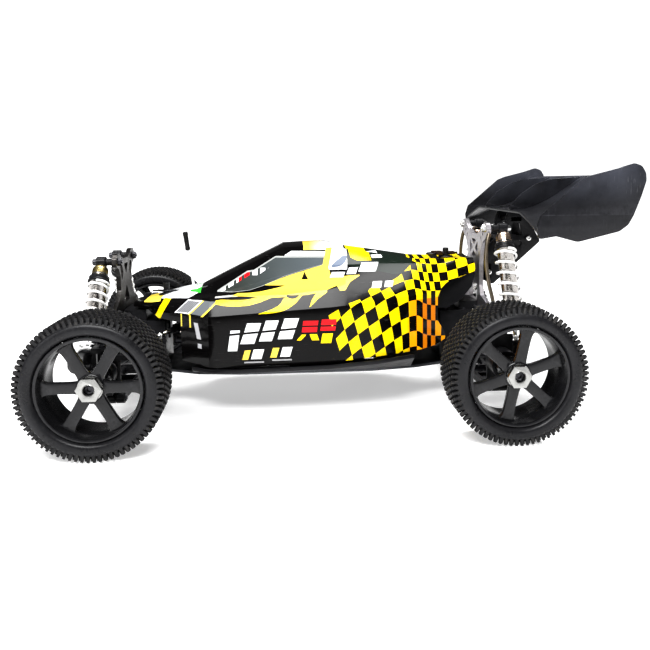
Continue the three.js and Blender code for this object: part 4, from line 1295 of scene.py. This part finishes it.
def front_tower():
    """The dark plate that carries the front dampers, with the posts of the upper links behind it."""
    half = [(0, 64), (24, 64), (34, 78), (46, 83), (47, 93), (29, 100), (22, 109), (22, 122), (27, 129),
            (35, 132), (36, 139), (31, 143), (23, 143), (16, 139), (8, 137), (0, 137)]
    holes = [rounded([(-8, 132), (8, 132), (0, 122)], 1.4), rounded([(-12, 96), (12, 96), (0, 112)], 1.6)]
    for s in (-1, 1):
        holes.append(rounded([(s * 16, 133), (s * 23, 131), (s * 17, 117), (s * 11, 124)], 1.4))
        for y, z in ((38, 88), (30, 84), (22, 136.5)):
            holes.append(ring_outline(s * y, z, 1.5, 14))
    shape = Shape(0.5)
    shape.prism("x", rounded(both_halves(half), 3), *tower_faces("front"), holes)
    shape.bevel = 0
    for s in (-1, 1):
        start = Vector((tower_faces("front")[1] - 0.5, s * LINK_INNER[0], LINK_INNER[1]))
        shape.rod(start, (AXLE["front"].x + 0.6, start.y, start.z), 3.4, 20)
    return shape


def rear_tower():
    """The bright plate with crossed cut-outs that carries the rear dampers."""
    half = [(0, 62), (26, 62), (33, 77), (47, 83), (47, 94), (25, 99), (21, 108), (20, 128), (22, 140),
            (29, 149), (41, 155), (44, 162), (40, 168), (33, 168), (20, 159), (8, 155.5), (0, 155)]
    holes = [rounded([(-9, 150.5), (9, 150.5), (0, 144.5)], 1),
             rounded([(-9, 133.5), (0, 139.5), (9, 133.5)], 1),
             rounded([(-14, 92), (14, 92), (14, 108), (-14, 108)], 2)]
    for s in (-1, 1):
        holes.append(rounded([(s * 13, 149), (s * 14, 135), (s * 3.5, 142)], 1))
        for y, z in ((38, 88), (30, 84), (30, 157.5), (24, 153)):
            holes.append(ring_outline(s * y, z, 1.5, 14))
    return Shape(0.5).prism("x", rounded(both_halves(half), 3), *tower_faces("rear"), holes)


finish(front_tower(), "front_tower_plate", "chassis", [FRONT_TOWER_ALLOY],
       ["front_shock_tower"])
finish(rear_tower(), "rear_tower_plate", "chassis", [REAR_TOWER_ALLOY],
       ["rear_shock_tower"])


def tower_screws(end):
    """Screws that hold the tower to its gearbox and the upper links to the tower."""
    outer = TOWER_X[end] + DIRECTION[end] * TOWER_THICK / 2
    away = (DIRECTION[end], 0, 0)
    shape = Shape()
    for s in (-1, 1):
        for z in {"front": (70, 82), "rear": (69, 84)}[end]:
            screw(shape, (outer, s * 11, z), away, 2.8, 2)
        nut(shape, (outer, s * LINK_INNER[0], LINK_INNER[1]), away, 3.2, 2.6)
    return shape


for end in ENDS:
    finish(tower_screws(end), f"{end}_tower_screws", "chassis", [STEEL])


def rear_brace(sign):
    """The curved stay from the rear tower's ear down past the spring to the link's mount."""
    path = smooth_path([(168.5, sign * 41.5, 158.5), (166.2, sign * 43.5, 150), (165, sign * 45, 138),
                        (165.4, sign * 46.4, 126), (167.4, sign * 47.2, 113), (170.6, sign * 47, 101),
                        (172.6, sign * 46, 93)], 6)
    return Shape().tube(path, 1.8, 12)


for side, sign in SIDES:
    finish(rear_brace(sign), f"rear_tower_stay_{side}", "chassis", [STAY_BRONZE])


# ---------------------------------------------------------------- chassis and its mouldings
refined("chassis_plate", "chassis_pan", "chassis", [CHASSIS_ALLOY], 0.5)
for node, name, bevel in (("side_guard_right", "side_guard_moulding_right", 0.7),
                          ("side_guard_left", "side_guard_moulding_left", 0.7),
                          ("front_bumper", "bumper_moulding", 1.2),
                          ("front_gearbox", "front_gearbox_case", 0.8),
                          ("rear_gearbox", "rear_gearbox_case", 0.8)):
    refined(node, name, "chassis", [BLACK], bevel)


def pan_screws():
    """Countersunk screws in the chassis plate's underside."""
    shape = Shape()
    low = car(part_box("chassis_plate")[0]).z
    spots = [(-104, 20), (-60, 38), (-20, 42), (20, 42), (60, 38), (96, 30), (-40, 12), (0, 8), (44, 12),
             (88, 10), (-150, 16), (-178, 14), (146, 16), (176, 14)]
    for x, y in spots:
        for s in (-1, 1):
            screw(shape, (x, s * y, low - 0.05), (0, 0, -1), 3, 0.5, True)
    return shape


finish(pan_screws(), "chassis_screws", "chassis", [DARK_STEEL])


def gearbox_screws(end):
    """Cap screws on the gearbox's top, and the ends of the arms' hinge pins."""
    shape = Shape()
    middle = AXLE[end].x
    top = {"front": 80, "rear": 84}[end]
    for s in (-1, 1):
        for back in (29, 10):
            screw(shape, (middle - DIRECTION[end] * back, s * 15, top), (0, 0, 1), 2.5, 1.8)
        for way in (-1, 1):
            pin = [s * ARM_INNER[0], ARM_INNER[1]]
            shape.rod((middle + way * 25, *pin), (middle + way * 29.6, *pin), 1.9, 16)
    return shape


for end in ENDS:
    finish(gearbox_screws(end), f"{end}_gearbox_screws", "chassis", [DARK_STEEL])


# ---------------------------------------------------------------- body shell
SPINE_REACH, SPINE_Z = 120, 85
FACES_AWAY = 0.02


def shell_side(centre, normal):
    """0 outside, 1 inside: the inside faces look back towards a spine along the shell's middle."""
    middle = Vector((max(-SPINE_REACH, min(SPINE_REACH, centre.x)), 0, SPINE_Z))
    return 0 if normal.dot((centre - middle).normalized()) > FACES_AWAY else 1


refined("body_shell", "shell", "shell", [SHELL_PAINT, SHELL_INSIDE], 1.1, 14, shell_side)

POSTS = {"front": (-130, 113), "rear": (138, 142)}


def body_post(end):
    """A post with a groove for each place where the clip can go."""
    x, top = POSTS[end]
    profile = [(0, 60), (3.1, 60), (3.1, 72)]
    for z in range(72, top - 6, 6):
        profile += [(2.95, z), (2.95, z + 4), (2.6, z + 4.4), (2.6, z + 5.4), (2.95, z + 5.8)]
    profile += [(2.95, top - 0.8), (2.2, top), (0, top)]
    return Shape().turned(profile, (x, 0, 0), (0, 0, 1), 24)


def r_clip(centre, turn, wire):
    """A spring clip: one straight leg, one waved leg, joined by an eye."""
    flat = [(13, 0.9), (9, 0.9), (5, 1.3), (1.6, 3.4), (-2, 3.2), (-5, 1), (-8, 0.9), (-11, 3.4),
            (-15, 4.4), (-18.4, 2.4), (-19, -0.8), (-17, -3.6), (-13.6, -4), (-10.4, -2.4), (-6, -1.3),
            (0, -1.2), (9, -1.2)]
    place_here = Matrix.Translation(centre) @ Matrix.Rotation(math.radians(turn), 4, "Z")
    return Shape().tube(smooth_path([place_here @ Vector((x, y, 0)) for x, y in flat], 6), wire)


for end in ENDS:
    finish(body_post(end), f"{end}_body_post", "chassis", [BLACK])
for end, z, turn, wire in (("rear", 136.6, 12, 1.1), ("front", 104.8, 170, 0.85)):
    clip = r_clip((POSTS[end][0], 0.4, z), turn, wire)
    finish(clip, f"{end}_body_clip", "shell", [DARK_STEEL])


def clip_tab():
    """The moulded grip on the rear clip, holding its eye and its legs together."""
    shape = Shape(0.7)
    shape.box(124, 134, -5.4, 3.6, 135.2, 139)
    shape.box(141.4, 146.6, -3.4, 2.8, 135.6, 138.6)
    return shape


finish(clip_tab(), "rear_clip_grip", "shell", [DARK_CLIP])

SKIRT_Y = (26.6, 28)
SKIRT = [(120.4, 88), (120.4, 104), (125, 110.5), (131, 115), (158, 123.8), (160, 120), (157, 108),
         (146, 95), (134, 88)]


def tail_skirt(sign):
    """The black inner wall under the shell's narrow tail."""
    return Shape(0.3).prism("y", rounded(SKIRT, 3), *sorted(sign * y for y in SKIRT_Y))


for side, sign in SIDES:
    finish(tail_skirt(sign), f"shell_tail_skirt_{side}", "shell", [SHELL_INSIDE])


def post_grommets():
    """The moulded rings where the posts come through the shell."""
    shape = Shape()
    for end, z, tilt in (("rear", 133.4, 0.01), ("front", 102.2, 0.17)):
        axis = Vector((-math.sin(tilt), 0, math.cos(tilt)))
        shape.turned([(4.7, -1), (7, -1), (7.2, 0.5), (6.6, 1), (5, 1), (4.7, 0.6), (4.7, -1)],
                     (POSTS[end][0], 0, z), axis, 32)
    return shape


finish(post_grommets(), "post_grommets", "shell", [BLACK])


# ---------------------------------------------------------------- wing
CHORD = [(189, 180), (205, 181.5), (222, 188), (240, 199), (257.5, 211)]
TIP_CHORD = [(188, 165), (204, 170), (223, 180), (242, 193), (259, 209)]
WING_HALF_SPAN = 112
WING_FLAT = 63
WING_THICK = 2.4
WING_STATIONS = 56
FIN_Y = (36, 38)


def wing_sheet():
    """The plane, with its chord curved and its span blended from the raised centre to the tips."""
    rings = []
    for k in range(WING_STATIONS + 1):
        y = -WING_HALF_SPAN + 2 * WING_HALF_SPAN * k / WING_STATIONS
        share = min(1, max(0, (abs(y) - WING_FLAT) / (WING_HALF_SPAN - WING_FLAT)))
        drop = share * (0.8 + 0.2 * share)
        chord = [Vector((a[0] + (b[0] - a[0]) * drop, y, a[1] + (b[1] - a[1]) * drop))
                 for a, b in zip(CHORD, TIP_CHORD)]
        upper = smooth_path(chord, 5)
        lower = [p - Vector((0, 0, WING_THICK)) for p in reversed(upper)]
        rings.append([*upper, *lower])
    return Shape(0.6).rings(rings)


FIN = [(188, 179), (189.5, 184), (200, 195), (213, 203.4), (226, 207.6), (257.5, 210), (256, 206),
       (240, 196), (222, 186), (204, 179.5)]
END_PLATE = [(190, 178.5), (187, 169), (188.2, 158.8), (203, 161.2), (221.3, 156.2), (244.8, 161.8),
             (256.5, 164.6), (264, 170), (268.4, 178), (274.4, 193.7), (278.2, 206.1), (277.6, 212.4),
             (274, 218.2), (267.4, 220.5), (254.6, 216.4), (232, 210.8), (224, 207.6)]
END_PLATE_RADII = [3, 4, 3, 6, 10, 14, 10, 8, 8, 12, 9, 6, 6, 6, 12, 10, 8]


def wing():
    """The sheet with an end plate at each tip and two fins on top."""
    shape = wing_sheet()
    for sign in (-1, 1):
        tip = sign * WING_HALF_SPAN
        shape.prism("y", rounded(END_PLATE, END_PLATE_RADII, 6), tip - 1, tip + 1)
        shape.prism("y", rounded(FIN, 4, 5), *sorted(sign * y for y in FIN_Y))
    return shape


def wing_mount():
    """Two drilled side plates, the foot bolted to the tower, and the seat under the wing."""
    side = [(171, 112), (180, 108), (208, 133), (226, 149), (213, 171), (209.5, 177.6), (194, 177),
            (190, 160), (178, 148), (171, 146)]
    holes = [ring_outline(192, 145, 3.4), ring_outline(181, 130, 3.2), ring_outline(205, 147, 2.8),
             rounded([(197, 156), (208, 154), (206, 166), (199, 168)], 2)]
    shape = Shape(0.6)
    for y in (-18, 14):
        shape.prism("y", rounded(side, 3), y, y + 4, holes)
    shape.box(170.6, 178, -18, 18, 112, 128)
    shape.box(197, 207, -18, 18, 168, 172)
    shape.bevel = 0
    for x in (186, 214):
        shape.rod((x, -15, 152), (x, 15, 152), 2.4, 18)
    return shape


def wing_screws():
    """The bolts through the mount's side plates."""
    shape = Shape()
    for s in (-1, 1):
        for x, z in ((186, 152), (214, 152), (176, 120)):
            screw(shape, (x, s * 18, z), (0, s, 0), 2.8, 2)
    return shape


def wing_buttons():
    """The two washers that hold the wing down on its mount."""
    shape = Shape()
    for s in (-1, 1):
        shape.turned([(0, -1), (5.4, -0.6), (5.2, 0.9), (3, 1.5), (2, 1.5), (1.9, 0.8), (0, 0.8)],
                     (202, s * 16, 181), (-0.06, 0, 1), 28)
    return shape


finish(wing(), "wing", "chassis", [WING_BLACK], ["rear_wing"])
finish(wing_mount(), "wing_mount_frame", "chassis", [BLACK], ["wing_mount"])
finish(wing_screws(), "wing_mount_screws", "chassis", [STEEL])
finish(wing_buttons(), "wing_buttons", "chassis", [BLACK])


# ---------------------------------------------------------------- drive line and electrics
DRIVE_Z = 58
SPUR_X, SPUR_R, SPUR_TEETH = 61, 23, 46
PINION_R, PINION_TEETH = 7.5, 15
MOTOR_Y, MOTOR_R = -30.5, 18


def gear(shape, centre, teeth, outside, root, half, bore):
    """A spur gear about X with straight-sided teeth."""
    x, y, z = centre
    outline = []
    for k in range(teeth):
        for share, radius in ((-0.3, root), (-0.16, outside), (0.16, outside), (0.3, root)):
            turn = TAU * (k + share) / teeth
            outline.append((y + radius * math.cos(turn), z + radius * math.sin(turn)))
    shape.prism("x", outline, x - half, x + half, [ring_outline(y, z, bore, 24)])


def centre_drive():
    """The spur gear on the centre differential, with a shaft to each gearbox."""
    shape = Shape()
    gear(shape, (SPUR_X, 0, DRIVE_Z), SPUR_TEETH, SPUR_R - 0.1, SPUR_R - 1.9, 4, 6)
    shape.turned([(0, -122), (4.5, -122), (4.5, -112), (2.5, -110), (2.5, 44), (6, 46), (6, SPUR_X - 8),
                  (7.5, SPUR_X - 8), (7.5, SPUR_X - 4), (7.2, SPUR_X - 3.8), (7.2, SPUR_X + 3.8),
                  (15, SPUR_X + 4.3), (16, SPUR_X + 5.4), (16, SPUR_X + 19), (15, SPUR_X + 20),
                  (6, SPUR_X + 21), (6, SPUR_X + 30), (2.5, SPUR_X + 32), (2.5, 112), (4.5, 114),
                  (4.5, 125), (0, 125)], (0, 0, DRIVE_Z), (1, 0, 0), 40)
    return shape


def motor():
    """The ribbed can, with four screws in its face."""
    shape = Shape()
    centre = (0, MOTOR_Y, DRIVE_Z)
    shape.turned([(0, -10), (14.4, -10), (15.6, -9.4), (17.4, -7), (17.4, -3), (MOTOR_R, -2.6),
                  (MOTOR_R, 8), (17.3, 8.5), (17.3, 10), (MOTOR_R, 10.5), (MOTOR_R, 40), (17.3, 40.5),
                  (17.3, 42), (MOTOR_R, 42.5), (MOTOR_R, 49), (17, 51), (15, 53), (4.4, 53), (4, 53.4),
                  (4, 55.4), (1.4, 55.4), (0, 55.4)], centre, (1, 0, 0), 56)
    half_pitch = 10.5 * math.sqrt(0.5)
    for a, b in ((1, 1), (-1, 1), (-1, -1), (1, -1)):
        screw(shape, (53, MOTOR_Y + a * half_pitch, DRIVE_Z + b * half_pitch), (1, 0, 0), 1.9, 1)
    return shape


def pinion():
    """The motor's gear and its collar."""
    shape = Shape()
    gear(shape, (SPUR_X, MOTOR_Y, DRIVE_Z), PINION_TEETH, PINION_R - 0.15, PINION_R - 1.8, 4, 1.6)
    shape.turned([(1.6, 56), (5.6, 56), (6, 56.4), (6, SPUR_X - 3.6), (1.6, SPUR_X - 3.6), (1.6, 56)],
                 (0, MOTOR_Y, DRIVE_Z), (1, 0, 0), 28)
    return shape


DECK = 37.8


def battery_straps():
    """Two flat loops over the pack."""
    shape = Shape(0.35)
    for x in (-58, 22):
        shape.prism("x", [(6.6, DECK), (44.8, DECK), (44.8, 72.8), (6.6, 72.8)], x, x + 16,
                    [[(7.35, DECK + 0.5), (44.05, DECK + 0.5), (44.05, 72.05), (7.35, 72.05)]])
    return shape


def radio_tray():
    """The floor under the electrics, with a low wall at each side."""
    shape = Shape(1)
    shape.box(-80, -14, -44, -7, DECK, DECK + 3)
    for y in (-43, -8):
        shape.box(-79, -15, y - 0.8, y + 0.8, DECK + 1, DECK + 8)
    return shape


def servo():
    """The steering servo: case, top cover and output."""
    shape = Shape(0.9)
    shape.box(-78, -44, -33, -9, DECK + 2.6, 60)
    shape.box(-77.4, -44.6, -32.2, -9.8, 60.6, 64)
    shape.bevel = 0
    shape.rod((-69, -21, 63), (-69, -21, 66), 5.4, 28)
    return shape


def receiver():
    """The receiver box and its lid."""
    shape = Shape(1.2)
    shape.box(-78, -44, -43.6, -33.6, DECK + 2.6, 58.6)
    return shape.box(-77, -45, -42.8, -34.4, 58, 60)


FIN_COUNT, FIN_PITCH = 11, 3.13


def heat_sink():
    """The speed controller's finned cooler."""
    shape = Shape(0.25)
    shape.box(-41, -17, -43, -10, 57.6, 60)
    for k in range(FIN_COUNT):
        y = -42.6 + k * FIN_PITCH
        shape.box(-41, -17, y, y + 1.3, 59.8, 68)
    return shape


finish(centre_drive(), "centre_drive_line", "centre_drive", [DARK_STEEL], ["centre_drive"])
finish(motor(), "motor_can", "chassis", [MOTOR_BLACK], ["motor"])
finish(pinion(), "pinion_gear", "pinion", [GEAR_STEEL], ["pinion"])
finish(Shape(1.6).box(-80, 52, 7.4, 44, DECK, 72), "battery_pack", "chassis", [BATTERY_CASE],
       ["battery"])
finish(battery_straps(), "battery_straps", "chassis", [TRAY])
finish(radio_tray(), "radio_tray_moulding", "chassis", [TRAY], ["radio_tray"])
finish(servo(), "steering_servo", "chassis", [SERVO_CASE])
finish(receiver(), "receiver_box", "chassis", [RECEIVER_CASE])
finish(Shape(1).box(-42, -16, -44, -9, DECK + 2.6, 58), "speed_controller", "chassis", [SERVO_CASE])
finish(heat_sink(), "speed_controller_cooler", "chassis", [HEAT_SINK])


# ---------------------------------------------------------------- steering
STEER_X, STEER_Y, DRAG_X = -92, 18, -112
DRAG_LINK_Z = (64.4, 66.6)


def bellcrank():
    """A turned sleeve and the arm that moves the drag link."""
    shape = Shape()
    shape.turned([(1.8, DECK), (4.4, DECK), (4.4, 39.6), (3.8, 40.2), (3.8, 58), (4.4, 59), (4.4, 66.4),
                  (3.8, 67), (1.8, 67), (1.8, DECK)], (STEER_X, STEER_Y, 0), (0, 0, 1), 28)
    shape.bevel = 0.5
    shape.prism("z", rounded([(STEER_X + 2, STEER_Y - 4), (STEER_X + 2, STEER_Y + 4),
                              (DRAG_X, STEER_Y + 3.4), (DRAG_X - 3.4, STEER_Y), (DRAG_X, STEER_Y - 3.4)],
                             2), 61.2, 64)
    return shape


def bellcrank_post():
    """The fixed post that the bellcrank turns on."""
    shape = Shape()
    shape.rod((STEER_X, STEER_Y, DECK - 0.4), (STEER_X, STEER_Y, 67), 1.8, 18)
    return screw(shape, (STEER_X, STEER_Y, 67), (0, 0, 1), 3, 2)


def drag_link():
    """The plate that ties the two bellcranks together, with a slot in it."""
    outline = [(-116, -21), (-109, -21), (-108.5, 0), (-109, 21), (-116, 21), (-123, 15), (-123, -15)]
    slot = rounded([(-120, -9), (-113, -11), (-113, 11), (-120, 9)], 2)
    return Shape(0.5).prism("z", rounded(outline, 2.5), *DRAG_LINK_Z, [slot])


def drag_link_screws():
    """The screws into the bellcranks and the studs under the tie rods."""
    shape = Shape()
    top = DRAG_LINK_Z[1]
    for s in (-1, 1):
        screw(shape, (DRAG_X, s * STEER_Y, top), (0, 0, 1), 2.5, 1.6)
        stud = (TIE_INNER[0], s * TIE_INNER[1])
        shape.rod((*stud, top), (*stud, top + 1), 2.4, 16)
    return shape


for side, sign in SIDES:
    name = f"steering_bellcrank_{side}"
    finish(bellcrank(), f"{name}_arm", name, [BLACK], [name], sign < 0)
    finish(bellcrank_post(), f"{name}_post", "chassis", [STEEL], (), sign < 0)
finish(drag_link(), "drag_link_plate", "drag_link", [FRONT_TOWER_ALLOY], ["drag_link"])
finish(drag_link_screws(), "drag_link_screws", "drag_link", [DARK_STEEL])


# ---------------------------------------------------------------- antenna
ANTENNA_FOOT, ANTENNA_TIP = Vector((-100.3, 33, 38)), Vector((-116, 33, 158))


def antenna_parts():
    """The holder, the tube and the rubber cap on its end."""
    along = ANTENNA_TIP - ANTENNA_FOOT
    top = along.length
    holder = Shape().turned([(0, 0), (4, 0), (4, 5), (3.4, 5.6), (3.4, 9), (4, 9.6), (4, 12), (2.4, 13.6),
                             (0, 13.6)], ANTENNA_FOOT, along, 28)
    tube = Shape().turned([(0, 4), (1.3, 4), (1.3, top - 4), (0, top - 4)], ANTENNA_FOOT, along, 16)
    cap = Shape().turned([(0, top - 17.8), (2, top - 18.4), (2.45, top - 17.8), (2.45, top - 16),
                          (2.25, top - 15.4), (2.35, top - 4), (2.6, top - 3), (2.5, top - 0.9),
                          (1.6, top - 0.1), (0, top)], ANTENNA_FOOT, along, 24)
    return holder, tube, cap


holder, tube, cap = antenna_parts()
finish(holder, "antenna_holder", "chassis", [BLACK], ["antenna"])
finish(tube, "antenna_tube", "chassis", [TUBE_WHITE])
finish(cap, "antenna_cap", "chassis", [CAP_RUBBER])


# ---------------------------------------------------------------- floor, light and camera
FLOOR_REACH = 4.0
GLOW_FROM, GLOW_TO = 250, 900


def floor():
    """A pale sweep of glossy board that glows as painted light: a little near the car, lifting the shade
    under it, and more away from the car, where it brightens into the backdrop.
    """
    s = Sketch("studio_floor")
    cloud = s.noise(160, 2)
    s.link("Base Color", s.mix(cloud.ramp(0.3, 0.7), (0.93, 0.93, 0.93), (0.96, 0.96, 0.96)))
    s.link("Roughness", cloud.ramp(0.3, 0.7, 0.07, 0.1))
    distance = (s.x * s.x + s.y * s.y).math("SQRT")
    # Painted light: the board glows, weakly near the car and fully far away.
    s.link("Emission Strength", distance.ramp(GLOW_FROM, GLOW_TO, 0.4, 1.0))
    s.set(Emission_Color=(1, 1, 1, 1))
    mesh = bpy.data.meshes.new("studio_floor")
    corners = [(FLOOR_REACH * a, FLOOR_REACH * b, 0) for a, b in ((-1, -1), (1, -1), (1, 1), (-1, 1))]
    mesh.from_pydata(corners, [], [(0, 1, 2, 3)])
    mesh.materials.append(s.material)
    board = bpy.data.objects.new("studio_floor", mesh)
    bpy.context.scene.collection.objects.link(board)


def lamp(name, place_at, aim, size, power):
    """A rectangular softbox. Places and sizes are in metres, power in watts."""
    data = bpy.data.lights.new(name, "AREA")
    data.shape = "RECTANGLE"
    data.size, data.size_y = size
    data.energy = power
    light = bpy.data.objects.new(name, data)
    light.location = place_at
    light.rotation_euler = (Vector(aim) - Vector(place_at)).to_track_quat("-Z", "Y").to_euler()
    bpy.context.scene.collection.objects.link(light)


floor()
lamp("overhead_box", (0, 0.1, 1.5), (0, 0, 0), (1.1, 0.6), 26)
lamp("front_box", (-0.35, -1.35, 1.45), (0, 0, 0.08), (1.2, 0.5), 44)
lamp("rear_box", (0.9, 1.3, 0.8), (0, 0, 0.1), (0.4, 0.4), 3)
lamp("low_kicker", (-1.1, -1.0, 0.5), (0, 0, 0.06), (0.25, 0.5), 3)

WALLS, CEILING, BACKDROP = 0.05, 0.2, 1.0


def studio_world():
    """A white backdrop to the eye; to the car, a bright ceiling over dimmer walls."""
    world = bpy.data.worlds.new("studio")
    world.use_nodes = True
    tree = world.node_tree
    background = next(n for n in tree.nodes if n.type == "BACKGROUND")
    split = tree.nodes.new("ShaderNodeSeparateXYZ")
    tree.links.new(tree.nodes.new("ShaderNodeTexCoord").outputs["Generated"], split.inputs[0])
    up = Value(tree, split.outputs["Z"]).ramp(0.3, 0.8)
    seen = Value(tree, tree.nodes.new("ShaderNodeLightPath").outputs["Is Camera Ray"])
    strength = seen * BACKDROP + (1.0 - seen) * (up * (CEILING - WALLS) + WALLS)
    tree.links.new(strength.socket, background.inputs["Strength"])
    background.inputs["Color"].default_value = (1, 1, 1, 1)
    bpy.context.scene.world = world


studio_world()
view = bpy.context.scene.view_settings
view.view_transform = "Standard"
view.look = "Medium High Contrast"

EYE = (-16.48, -652.05, 207.18)
YAW, PITCH, ROLL = (math.radians(angle) for angle in (4.99, 5.825, -0.3))
LENS, LENS_SHIFT = 37.87, (-0.032, -0.1145)


def camera():
    """A view of the car's left side from the wing's height, turned a little down and to the rear."""
    forward = Vector((math.sin(YAW) * math.cos(PITCH), math.cos(YAW) * math.cos(PITCH), -math.sin(PITCH)))
    level = Vector((math.cos(YAW), -math.sin(YAW), 0))
    upward = level.cross(forward)
    right = level * math.cos(ROLL) + upward * math.sin(ROLL)
    up = upward * math.cos(ROLL) - level * math.sin(ROLL)
    data = bpy.data.cameras.new("camera")
    data.sensor_width = 36
    data.lens = LENS
    data.shift_x, data.shift_y = LENS_SHIFT
    data.clip_start = 0.02
    eye = bpy.data.objects.new("camera", data)
    eye.matrix_world = Matrix.Translation(metres(EYE)) @ Matrix((right, up, -forward)).transposed().to_4x4()
    bpy.context.scene.collection.objects.link(eye)
    bpy.context.scene.camera = eye


camera()
